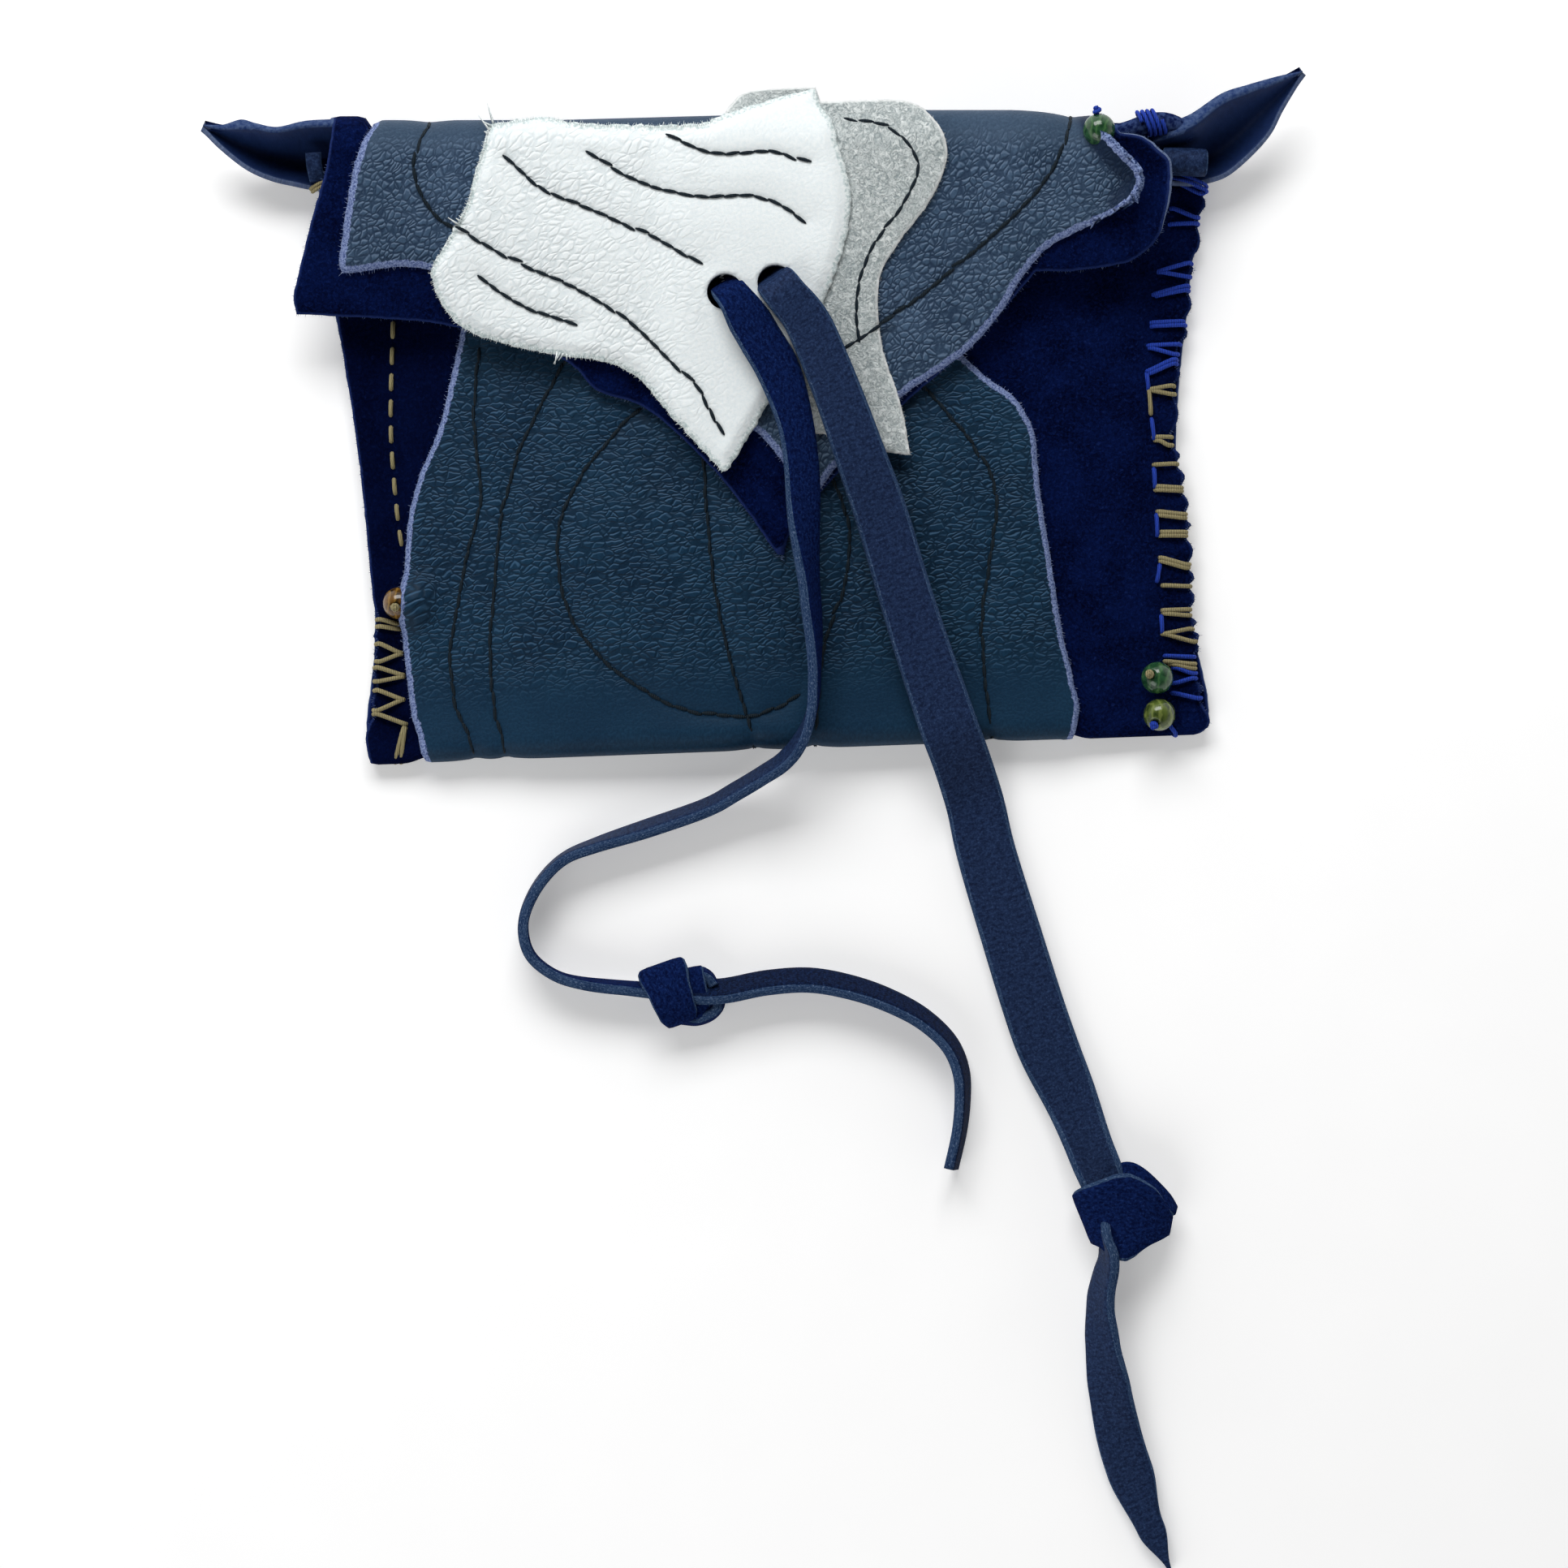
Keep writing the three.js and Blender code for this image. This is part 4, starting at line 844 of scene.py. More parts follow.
def bead(name, centre, tip, finish, slot, knot_finish, body):
    """A drilled ball whose bore leans by the tip vector, and the thread knotted at its upper end."""
    bm = bmesh.new()
    reach = math.acos(0.26)  # the round of the ball ends at the rim of its bore
    profile = [(math.cos(a) * BEAD_RADIUS, math.sin(a) * BEAD_RADIUS) for a in np.linspace(-reach, reach, 17)]
    profile += [(BORE_RADIUS, z) for z in np.linspace(profile[-1][1], profile[0][1], 6)[1:-1]]
    ring = [bm.verts.new((r, 0, z)) for r, z in profile]
    edges = [bm.edges.new((a, b)) for a, b in zip(ring, [*ring[1:], ring[0]])]
    bmesh.ops.spin(
        bm, geom=[*ring, *edges], axis=(0, 0, 1), cent=(0, 0, 0), steps=32, angle=2 * math.pi, use_merge=True
    )
    bmesh.ops.recalc_face_normals(bm, faces=bm.faces)
    turn = Vector(tip).to_track_quat("Z", "Y").to_matrix().to_4x4()
    bmesh.ops.transform(bm, matrix=Matrix.Scale(MM, 4) @ Matrix.Translation(centre) @ turn, verts=bm.verts)
    ball = shown(name + "_stone", meshed(name + "_stone", bm), [finish])
    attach(ball, body)
    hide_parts(name)
    up = np.array(Vector(tip).normalized())
    base, top = np.array(centre) - up * 3.6, np.array(centre) + up * BEAD_RADIUS
    side = np.cross(up, (0.4, 0.9, 0.1))
    side /= np.linalg.norm(side)
    other = np.cross(up, side)
    twist = []
    for k in range(11):
        around = side * math.cos(k * 0.9) + other * math.sin(k * 0.9)
        twist.append(top + up * (0.3 + 0.13 * k) + around * (0.8 - 0.04 * k))
    route = [base, np.array(centre), top - up * 0.4, *twist, top + up * 1.3]
    strands(name + "_knot", [route], KNOT_RADIUS, knot_finish, body, name + "_thread")


for bead_of_seam in (
    ("left_bead", LEFT_BEAD, (-0.1, -0.25, 1), brown_stone, "brown_stone", tan_thread),
    ("green_bead", (98.7, -63.2, 9.6), (-0.55, 0.22, 1), green_stone, "green_stone", tan_thread),
    ("olive_bead", (99.2, -72.2, 9.6), (-0.45, -0.75, 1), olive_stone, "olive_stone", blue_thread),
):
    bead(*bead_of_seam, "pouch")

# ---- Flap lining
# The suede of the flap carries on from the back wall over a soft top fold and ends in a hand-cut
# point. Its right corner curls up.
FLAP_TOP = FOLD_Y + SUEDE_RADIUS * math.pi
FLAP_REST, FLAP_CREST = 7.7, 20.4
LINING_CORNER = [(89.5, 36.9), (94.6, 39.5), (98.1, 43), (99.6, 48.2), (100.6, 54.2), (100.8, 58.2)]
LINING_CORNER += [(100.3, 61.2), (97.6, 63.8), (94.6, 66.6), (91.5, 67.9), (88.3, 68.8)]
LEATHER_CORNER = [(78.2, 44.2), (84, 46.4), (87.8, 47.6), (91.8, 50), (94.4, 53.2), (95, 57), (93.2, 60.5)]
LEATHER_CORNER += [(90.2, 63.5), (87.6, 66.4), (85.6, 69), (84.8, 71.2)]


def lifted(x, up, corner, lift, reach):
    """How far a curled corner stands up: most at its edge, and more towards the edge's last point."""
    line = drawn(corner, 0.5)
    ahead = np.gradient(line, axis=0)
    inward = np.column_stack([-ahead[:, 1], ahead[:, 0]]) / np.linalg.norm(ahead, axis=1)[:, None]
    near = tree_of(line)
    found = [near.find((a, b, 0)) for a, b in zip(x, up)]
    spot = np.array([hit[1] for hit in found])
    gap = np.sum((np.column_stack([x, up]) - line[spot]) * inward[spot], axis=1)
    gap = np.where((spot == 0) | (spot == len(line) - 1), np.array([hit[2] for hit in found]), gap)
    along = spot / len(line)
    return lift * np.clip(1 - gap / reach, 0, 1.1) ** 2 * ease(along / 0.55) * (0.75 + 0.5 * along)


def flap_height(x, y):
    """The flap comes down from the fold until it rests on the pouch."""
    resting = FLAP_REST + pocket_room(x, y)
    return FLAP_CREST + (resting - FLAP_CREST) * ease((FOLD_Y - y) / 80)


def flap_base(x, up):
    """Middle of the flap's suede: the front by its height up the bag, then round the top fold."""
    turn = np.maximum(up - FOLD_Y, 0) / SUEDE_RADIUS
    y = np.where(up < FOLD_Y, up, FOLD_Y + SUEDE_RADIUS * np.sin(turn)) + lean(x) * ease((up - 58) / 14)
    round_z = FOLD_RADIUS + SUEDE_RADIUS * np.cos(turn)
    return np.column_stack([x, y, np.where(up < FOLD_Y, flap_height(x, up), round_z)])


def flap_form(x, up):
    """The flap's suede: fuller where its left end shows bare, and with its right corner curled up."""
    laid = flap_base(x, up)
    turn = np.maximum(up - FOLD_Y, 0) / SUEDE_RADIUS
    bare = ease((-96.4 + 3.8 * ease((up - 60) / 11) - x) / 2.5)
    swell = 2.8 * bare * ease((up - 55) / 18) * ease((FLAP_TOP - up) / 14)
    laid[:, 1] += swell * np.sin(turn)
    laid[:, 2] += swell * np.cos(turn) + lifted(x, up, LINING_CORNER, 3.4, 6)
    return laid


def cover_form(x, up):
    """The flap's leather, whose right corner stands up more steeply than the suede under it."""
    laid = flap_base(x, up)
    laid[:, 2] += lifted(x, up, LEATHER_CORNER, 6, 6)
    return laid


flap_lining_outline = [
    (-107.1, FLAP_TOP), (-107.1, FLAP_TOP), (-104.4, 80), (-101.5, 72), (-102.7, 60.4), (-106.8, 46.3),
    (-110.9, 31), (-111.3, 28), (-110.7, 24.9), (-110.7, 24.9), (-86.2, 23.7), (-71.5, 21.6), (-46.6, 14.1),
    (-37.7, 6.3), (-25, 1.3), (-8.1, -14.5), (7.2, -35.1), (7.2, -35.1), (9.2, -28.1), (14.3, -21.1),
    (14.3, -21.1), (21.4, -13), (35.9, 2.2), (53.6, 18), (68.7, 35), (68.7, 35), (77, 35),
    *LINING_CORNER, (86.8, 74), (86.5, 80), (86.5, FLAP_TOP), (86.5, FLAP_TOP),
]
HOLE_RADIUS, LACE_HOLES = 4.3, []
for x, y in ((-6.6, 29.5), (5.5, 31.6)):
    turns = np.linspace(0, 2 * np.pi, 24, endpoint=False)
    LACE_HOLES.append([(x + HOLE_RADIUS * math.cos(a), y + HOLE_RADIUS * math.sin(a)) for a in turns])
flap_lining = hide(
    "flap_lining", flap_lining_outline, 1.4, flap_form, SUEDE_FACES, [navy_suede, navy_suede, nap_rim],
    holes=LACE_HOLES, skive=SUEDE_SKIVE, wild=0.15, ends=(-60, FLAP_TOP - 4),
)
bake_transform(flap_lining)
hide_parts("flap_suede")
flap_fringe = fringe(
    "flap_lining_fringe", [[point for point in flap_lining_outline if point[1] < 70]], flap_form, 0, navy_fuzz, 0.7
)
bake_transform(flap_fringe)

# ---- Flap leather
# A slate-blue leather with a round pebbled grain covers the flap; its tones are set lighter than the front's as
# painted light, for the flap lit more from the top. It is sewn down inside its raw edge, and the grain is worn
# smooth where it goes over the fold, where painted shade darkens it.
# These tones are lighter and greyer than the front leather's: painted light, for the flap lit more from the top.
slate_leather = leather(
    "slate-blue pebbled leather", ("#15233a", "#3c5168", "#495f78", "#768ba4"), (0.6, 0.4, 0.45), RAW,
    cell=(1.9, 1.25), slant=40, step=0.21, ramp=0.26, band=1.6, smooth=(60, 69), painted_fold_tone="#2b3b4b",
    strength=0.45, shine=0.06,
)
flap_leather_outline = [
    (-91, FLAP_TOP), (-91, FLAP_TOP), (-92, 78), (-92.3, 71.1), (-96, 60.1), (-98.9, 44.2), (-99.9, 37.2),
    (-99.3, 34.6), (-99.3, 34.6), (-77.8, 35.4), (-44.5, 21.8), (-17.1, 9.1), (0.4, -3.5), (8.4, -12.9),
    (14.3, -21), (14.3, -21), (21.3, -11.2), (35.2, 3.9), (51.1, 15.1), (59.9, 25.1), (64.6, 32.7), (70.4, 39.8),
    *LEATHER_CORNER, (83.4, 72.6), (82.8, 74.6), (83.5, 78), (84, FLAP_TOP), (84, FLAP_TOP),
]
FLAP_LINES = [
    [(-78.5, 74), (-78.7, 70.1), (-81.2, 63.7), (-81.2, 56), (-75.9, 47.6), (-68, 43.5)],
    [(77.2, 75), (77, 71.7), (73.5, 61.3), (66.3, 51.3), (51, 37.3), (35.8, 25.5), (28, 20.6)],
]
flap_leather = hide(
    "flap_pebbled_leather", flap_leather_outline, 0.9, cover_form, LEATHER_FACES, [slate_leather, flesh, raw_edge],
    holes=LACE_HOLES, seams=FLAP_LINES, skive=(2.2, 0.9), wild=0.22, ends=(-60, FLAP_TOP - 4),
    upright=[drawn(LEATHER_CORNER[3:], 0.5)],
)
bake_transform(flap_leather)
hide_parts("flap_leather")
cover_fringe = fringe("flap_leather_fringe", [flap_leather_outline[3:22]], cover_form, 1.7, leather_fuzz, 0.9)
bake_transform(cover_fringe)
stitched("flap_machine_stitching", FLAP_LINES, cover_form, 2.0, "flap")

# ---- Grey patch
# A scrap of pale grey suede lies under the white one and reaches down the flap. Its nap is short and
# rough.
grey_suede = suede("pale grey suede", "#929d9f", "#e3e9e8", "#fcfefd", 1.0, 0.8, 1.8, 0.9, 0.1)


def patch_form(x, y):
    """The patches lie flat on the flap, and their upper tips droop over the fold."""
    droop = 4.5 * ease((y - 64) / 14)
    return np.column_stack([x, y + 0.17 * droop, flap_height(x, np.minimum(y, FOLD_Y)) - droop])


grey_outline = [
    (15.2, 78.5), (15.2, 78.5), (1.5, 77.5), (-4.3, 74), (-8.2, 66), (-9, 48.9), (-5.3, 21.5), (4.3, 2.7),
    (4.3, 2.7), (13.8, -3.8), (18.5, -4.9), (29.5, -8.4), (37.9, -9.6), (37.9, -9.6), (35.7, 2.5), (31, 17.7),
    (30.5, 32.4), (35.1, 41.2), (43.3, 52.3), (46.9, 62.8), (43.3, 69.9), (35.7, 74), (16.4, 73.6), (16.4, 73.6),
]
grey_patch = hide(
    "grey_suede_patch", grey_outline, 0.9, patch_form, (4.1, 2.9), [grey_suede, grey_suede, grey_suede],
    holes=LACE_HOLES, skive=(1, 0.3), wild=0.15,
)
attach(grey_patch, "flap")
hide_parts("grey_patch")
pale_fuzz = fuzz("white hide fibres", "#c9d3d3", "#f4f8f7")
grey_fringe = fringe("grey_patch_fringe", [grey_outline], patch_form, 3.5, pale_fuzz, 0.6)
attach(grey_fringe, "flap")
GREY_LINES = [
    [(34, 24), (27, 19.2), (21.5, 15.8)],
    [(22, 69.5), (34, 67), (40, 60), (36, 50), (28.5, 40), (25, 28), (25.5, 17.5)],
]
stitched("grey_patch_stitching", GREY_LINES, patch_form, 4.0, "flap")

# ---- White patch
# A soft white hide with a wrinkled grain lies on top, torn rather than cut, so its edge is fuzzy. It
# is stitched down with plain lines of black thread.
def white_hide(name):
    """White leather: bright, with shallow wrinkles, 3 mm by 1.5 mm, shown by painted shade in their valleys and a
    painted highlight on their slopes towards the top fold.
    """
    made, tree, shader = material(name)
    flat = put(tree, "Attribute", out="Vector", attribute_name="flat")
    hill, lit = pebbles(tree, flat, (2.9, 1.5), 30, 0.25, 0.24)
    fine = put(tree, "TexNoise", {"Vector": flat, "Scale": 1.3, "Detail": 5.0, "Roughness": 0.65})
    broad = put(tree, "TexNoise", {"Vector": flat, "Scale": 0.09, "Detail": 3.0})
    across = put(tree, "SeparateXYZ", {0: flat})
    worn = put(tree, "MapRange", {0: across, 1: -34.0, 2: -2.0, 3: 1.0, 4: 0.15}, **SMOOTH)
    patchy = put(tree, "MapRange", {0: broad, 1: 0.35, 2: 0.6, 3: 0.3, 4: 1.0}, **SMOOTH)
    worn = put(tree, "Math", {0: worn, 1: patchy}, **TIMES)
    colour = layered(tree, "#e7eff1", [(fine, 0.35, 0.65, 1, "#f1f6f6")])
    # Painted shade in the wrinkles' valleys and a painted highlight on their slopes turned to the lamp beyond the
    # top fold.
    colour = layered(tree, colour, [(hill, 0.8, 0.0, 0.26, "#bccacf"), (lit, 0.1, 0.9, 0.7, "#f8fbfb")], worn)
    fuzzy = layered(tree, "#b4c4c5", [(fine, 0.35, 0.65, 1, "#f0f6f5")])
    waver = put(tree, "Math", {0: fine, 1: 1.5}, **TIMES)
    edge = put(tree, "Attribute", out="Fac", attribute_name="edge")
    edge = put(tree, "Math", {0: edge, 1: waver}, **PLUS)
    torn = put(tree, "MapRange", {0: edge, 1: 2.3, 2: 1.5}, **SMOOTH)
    colour = put(tree, "Mix", {0: torn, 6: colour, 7: fuzzy}, 2, **COLOURS)
    rise = put(tree, "Math", {0: hill, 1: worn}, **TIMES)
    pores = put(tree, "Math", {0: fine, 1: 0.5}, **TIMES)
    rise = put(tree, "Math", {0: rise, 1: pores}, **PLUS)
    relief = put(tree, "Bump", {"Strength": 0.4, "Distance": 0.0006, "Height": rise})
    join(tree, shader, {"Base Color": colour, "Normal": relief, "Roughness": 0.6, "Specular IOR Level": 0.15})
    return made


white_leather = white_hide("white wrinkled leather")


def white_form(x, y):
    """The white patch steps up where the grey one lies under it."""
    return patch_form(x, y) + np.column_stack([x * 0, x * 0, 1.5 * ease((x + 26) / 12)])


white_outline = [
    (-63.4, 68.3), (-63.4, 68.3), (-66.3, 59.5), (-69, 50.1), (-73.9, 41.4), (-77.4, 33.8), (-71, 22.6),
    (-58.7, 17.4), (-44.7, 14.4), (-33.5, 12.5), (-24.8, 6.6), (-15, -5.1), (-7.4, -13.8), (-7.4, -13.8),
    (-5.5, -12.7), (-0.4, -4.5), (4.3, 3.7), (16.6, 26.1), (21.6, 39.2), (23.4, 47.4), (23.4, 54.4),
    (19.9, 66.7), (16.4, 73.1), (15.2, 77.8), (15.2, 77.8), (-9, 69.6), (-14.2, 68.3), (-38.8, 68.5),
    (-51.1, 70), (-63.4, 68.3),
]
WHITE_LINES = [
    [(-71.4, 45.5), (-57.9, 37.7), (-37, 27.7), (-24.9, 18.6), (-13.5, 7), (-7, -5)],
    [(-60, 62), (-50, 54), (-36, 48), (-22, 42), (-12, 36)],
    [(-40, 63), (-28, 56), (-12, 52), (2, 52), (13, 46)],
    [(-20, 66), (-8, 62), (4, 63), (14, 60)],
    [(-66, 34), (-56, 27), (-42, 22)],
]
white_patch = hide(
    "white_hide_patch", white_outline, 0.9, white_form, (4.9, 2.9), [white_leather, white_leather, white_leather],
    holes=LACE_HOLES, seams=WHITE_LINES, skive=(3.4, 1.4), wild=0.35,
)
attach(white_patch, "flap")
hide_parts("white_patch")
white_fringe = fringe(
    "white_patch_fringe", [white_outline[1:13], white_outline[-5:]], white_form, 3.6, pale_fuzz, 0.6, 0.5, 0.12
)
TUFTS = [[(-63, 68.8), (-64.2, 66.6)], [(-70.4, 47.8), (-71.2, 46.2)], [(-47, 15), (-44, 14.2)]]
white_tufts = fringe("white_patch_tufts", TUFTS, white_form, 3.8, pale_fuzz, 3.4, 0.8, 0.36)
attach(white_tufts, "flap")
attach(white_fringe, "flap")
stitched("white_patch_stitching", WHITE_LINES, white_form, 4.35, "flap", 3.6, 0.45)

# ---- Laces
# One flat leather lace goes through two punched holes in the flap. Its left end shows its suede side,
# its right end its smooth side; both lie on edge in places, and both are knotted and cut bare.
def lace_face(name, deep, mid, line, rough, shine, creases=(1.6, 0.16)):
    """A side of the lace: fine lines run along it, or small creases across it, so many to the millimetre."""
    made, tree, shader = material(name)
    flat = put(tree, "Attribute", out="Vector", attribute_name="flat")
    laid = put(tree, "Mapping", {"Vector": flat, "Scale": (*creases, 1)})
    streak = put(tree, "TexNoise", {"Vector": laid, "Scale": 1.0, "Detail": 5.0, "Roughness": 0.7})
    nap = put(tree, "TexNoise", {"Vector": flat, "Scale": 1.5, "Detail": 4.0, "Roughness": 0.75})
    near = put(tree, "Math", {0: nap, 1: 0.5}, **TIMES)
    share = put(tree, "Math", {0: streak, 1: 0.6}, **TIMES)
    share = put(tree, "Math", {0: share, 1: near}, **PLUS)
    colour = layered(tree, deep, [(share, 0.42, 0.68, 1, mid), (nap, 0.54, 0.7, 0.6, line)])
    relief = put(tree, "Bump", {"Strength": 0.5, "Distance": 0.0003, "Height": share})
    join(tree, shader, {"Base Color": colour, "Normal": relief, "Roughness": rough, "Specular IOR Level": shine})
    return made


lace_grain = lace_face("navy lace smooth side", "#0f1b36", "#25375a", "#374c72", 0.6, 0.06, (0.55, 1.2))
lace_suede = lace_face("navy lace suede side", "#050d2e", "#102354", "#263c70", 0.95, 0.02, (1.1, 0.6))
# A copy of the smooth side darkened as painted shade, for the lace's cupped end where its grain turns away from the
# light.
lace_grain_shaded = lace_face("navy lace smooth side, painted shaded", "#060d20", "#122244", "#28406a", 0.7, 0.03, (0.55, 1.2))
lace_edge = lace_face("navy lace cut edge", "#16294a", "#3c5272", "#8a9cb8", 0.95, 0.02)
LACE = 2.6
LEFT_ROUTE = [
    (-7.6, 31.2, 18.6), (-6.6, 30.6, 22.8), (-5, 28.6, 26.8), (-2.8, 25.4, 27.8), (1.9, 17.7, 26.9),
    (6.5, 9.7, 25.9), (10.3, -2.2, 25), (11.9, -13.8, 24.2), (12.5, -27.3, 22.6), (13.9, -42.9, 20.4),
    (14.9, -54.6, 18.8), (14.9, -66.3, 17.4), (13.9, -73, 16.8), (11.3, -79.1, 15.6), (7.5, -83.5, 13.2),
    (2.5, -86.9, 10.4), (-4, -90.8, 7.8), (-11.5, -94.9, 6), (-25.4, -99.8, 5.3), (-38.3, -104, 5.3),
    (-46.3, -107.4, 5.3), (-52.1, -113.2, 5.3), (-55.7, -120.3, 5.3), (-56.2, -126.3, 5.3),
    (-54.1, -131.7, 5.3), (-48.5, -136, 5.3), (-41.3, -138, 5.4), (-29.6, -139.2, 5.8), (-18.6, -140, 6.2),
    (-7.5, -139.8, 5.9), (3.4, -137.8, 5.4), (14.4, -137.2, 5.3), (25.7, -139.4, 5.3), (35.2, -143, 5.3),
    (42.4, -147.2, 5.3), (48.2, -152.9, 5.3), (51, -159.5, 5.3), (51.4, -166.5, 5.3), (50.6, -174.4, 5.3),
    (48.6, -183.4, 5.3),
]
RIGHT_ROUTE = [
    (4.4, 33, 18.6), (4.9, 32.4, 22.5), (6.2, 30.6, 27.4), (8.4, 27.8, 28.1), (13.6, 21, 26.8),
    (20.1, 5.9, 25.2), (26.1, -10.4, 23), (31.1, -24.1, 19.6), (35.9, -39.8, 17), (40.2, -53.3, 14.9),
    (45.4, -68.6, 13.2), (48, -76, 12.4), (50.4, -82, 9.4), (52.6, -88, 5.4), (54.8, -95, 2.6),
    (57.3, -105.9, 1.8), (62.7, -123.8, 1.7), (71.1, -150.2, 1.7), (78.1, -166.6, 2), (82.8, -179, 3.6),
    (86, -187, 5.2), (88, -194, 5.6), (88.6, -198, 5.6),
]
TAIL_ROUTE = [
    (87.4, -192.5, 5.6), (86.7, -196, 7.4), (86.5, -199.5, 9.2), (86.9, -203, 9.2), (86.9, -206.5, 8.4),
    (85.9, -211, 6.8), (85.2, -216, 5.6), (85.4, -222, 5), (86.1, -229, 4.5), (88.2, -241.1, 3.4),
    (90.4, -251, 2.4), (93.4, -260.2, 1.8), (96.9, -270, 1.7), (102.6, -282.6, 1.7),
]


def graph(stations, places):
    """A soft line through (place, value) stations."""
    at, values = np.array(stations, float).T
    i = np.clip(np.searchsorted(at, places, side="right") - 1, 0, len(at) - 2)
    return values[i] + (values[i + 1] - values[i]) * ease((places - at[i]) / (at[i + 1] - at[i]))


def rolled(ahead, degrees):
    """The lace's own up direction where it is turned about its length by so many degrees."""
    level = np.column_stack([ahead[:, 1], -ahead[:, 0], np.zeros(len(ahead))])
    level /= np.linalg.norm(level, axis=1)[:, None]
    turn = np.radians(degrees)[:, None]
    across = level * np.cos(turn) + np.cross(ahead, level) * np.sin(turn)
    return np.cross(across, ahead)


def strip(bm, flat, line, widths, ups, faces, cups, thick=LACE):
    """A strip along a line, its edges turned up: a grid rolled round its two faces and its two cut edges."""
    ahead = heading(line)
    ups = ups - ahead * np.sum(ups * ahead, axis=1)[:, None]
    ups /= np.linalg.norm(ups, axis=1)[:, None]
    across = np.cross(ahead, ups)
    span = np.linspace(-1, 1, 8)
    section = [(s, 1, 0) for s in span] + [(1.08, 0.4, 1), (1.08, -0.4, 1)]
    section += [(s, -1, 2) for s in span[::-1]] + [(-1.08, -0.4, 1), (-1.08, 0.4, 1), (-1, 1, 0)]
    place = reached(line)
    rows, columns = len(line) - 1, len(section) - 1
    grid = bmesh.ops.create_grid(bm, x_segments=rows, y_segments=columns, size=0.5)["verts"]
    column_of = {}
    for vert in grid:
        row, column = round((vert.co.x + 0.5) * rows), round((vert.co.y + 0.5) * columns)
        column_of[vert] = column
        s, t, _ = section[column]
        slope = 2 * cups[row] * s / (0.46 * widths[row])
        above = (ups[row] - across[row] * slope) / math.hypot(1, slope)
        shift = across[row] * s * widths[row] * 0.46 + ups[row] * cups[row] * s * s
        shift = shift + above * t * thick / 2 * (1 - 0.1 * (abs(s) == 1))
        vert.co = (line[row] + shift) * MM
        vert[flat] = (s * widths[row] / 2 + t * 3, place[row], 0)
    for face in {face for vert in grid for face in vert.link_faces}:
        first, last = min(column_of[v] for v in face.verts), max(column_of[v] for v in face.verts)
        kinds = {section[first][2], section[last][2]}
        face.material_index = faces[1] if 1 in kinds else faces[kinds.pop()]
    bmesh.ops.remove_doubles(bm, verts=grid, dist=1e-7)


def laced(name, strips, body="flap"):
    """A piece of lace from one or more strips."""
    bm = bmesh.new()
    flat = bm.verts.layers.float_vector.new("flat")
    for line, widths, ups, faces, cups in strips:
        strip(bm, flat, line, widths, ups, faces, cups)
    for face in bmesh.ops.holes_fill(bm, edges=[edge for edge in bm.edges if edge.is_boundary])["faces"]:
        face.material_index = 1
    bmesh.ops.recalc_face_normals(bm, faces=bm.faces)
    piece = shown(name, meshed(name, bm), [lace_suede, lace_edge, lace_grain, lace_grain_shaded])
    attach(piece, body)
    return piece


def run_of(route, widths, rolls, faces, first=0.0, last=1.0, cups=((0, 0), (1, 0))):
    """A long run of lace, whose width, roll and cup go by the share of its length."""
    line = drawn(route, 1.0)
    share = np.linspace(0, 1, len(line))
    kept = (share >= first) & (share <= last)
    ups = rolled(heading(line), graph(rolls, share))
    return line[kept], graph(widths, share)[kept], ups[kept], faces, graph(cups, share)[kept]


SUEDE_UP, GRAIN_UP, SHADED_GRAIN_UNDER = (0, 1, 2), (2, 1, 0), (0, 1, 3)
left_widths = [(0, 6.6), (0.025, 8.4), (0.05, 10.8), (0.08, 11), (0.13, 9.2), (0.62, 9), (0.67, 8)]
left_widths += [(0.75, 8), (0.81, 8.4), (1, 8)]
out_widths = [(0.7, 5), (0.735, 9.6), (0.85, 9.4), (1, 8)]
left_rolls = [(0, -16), (0.08, -16), (0.16, -30), (0.24, -68), (0.3, -84), (0.36, -108), (0.46, -108)]
left_rolls += [(0.54, -96), (0.62, -91), (0.67, -82), (0.71, -76), (1, -76)]
left_lace = laced(
    "left_lace_end",
    [run_of(LEFT_ROUTE, left_widths, left_rolls, SUEDE_UP, 0, 0.715),
     run_of(LEFT_ROUTE, out_widths, [(0, 118), (0.8, 116), (1, 104)], SHADED_GRAIN_UNDER, 0.705, 1)],
)
right_widths = [(0, 8), (0.04, 10), (0.1, 11.2), (0.3, 12.7), (0.5, 14), (0.8, 15), (0.93, 11), (1, 9)]
tail_widths = [(0, 7), (0.1, 8.5), (0.2, 9.6), (0.27, 10), (0.5, 11), (0.72, 11.4), (0.88, 7), (1, 1)]
right_cups = [(0, 0.2), (0.3, 0.9), (0.8, 1), (0.95, 2.2), (1, 2.4)]
tail_rolls = [(0, 110), (0.07, 100), (0.13, 74), (0.2, 66), (0.27, 62), (0.37, 48), (0.5, 26), (0.65, 8), (1, 0)]
right_lace = laced(
    "right_lace_end",
    [run_of(RIGHT_ROUTE, right_widths, [(0, 0), (1, 0)], GRAIN_UP, cups=right_cups),
     run_of(TAIL_ROUTE, tail_widths, tail_rolls, GRAIN_UP)],
)


def wound(centre, side, axis, halves, pitch, widths, start=205, turns=-1.12, faces=SUEDE_UP):
    """A band of lace wound about an axis; its width goes by the angle it has reached."""
    share = np.linspace(0, 1, 60)
    degrees = start + share * turns * 360
    angle = np.radians(degrees)[:, None]
    side, axis, up = np.array((*side, 0.0)), np.array((*axis, 0.0)), np.array((0, 0, 1.0))
    out = side * np.cos(angle) * halves[0] + up * np.sin(angle) * halves[1]
    line = np.array(centre) + out + axis * ((share - 0.5) * pitch)[:, None]
    lean = side * np.cos(angle) / halves[0] + up * np.sin(angle) / halves[1]
    return line, graph(widths, degrees), lean, faces, 0 * share


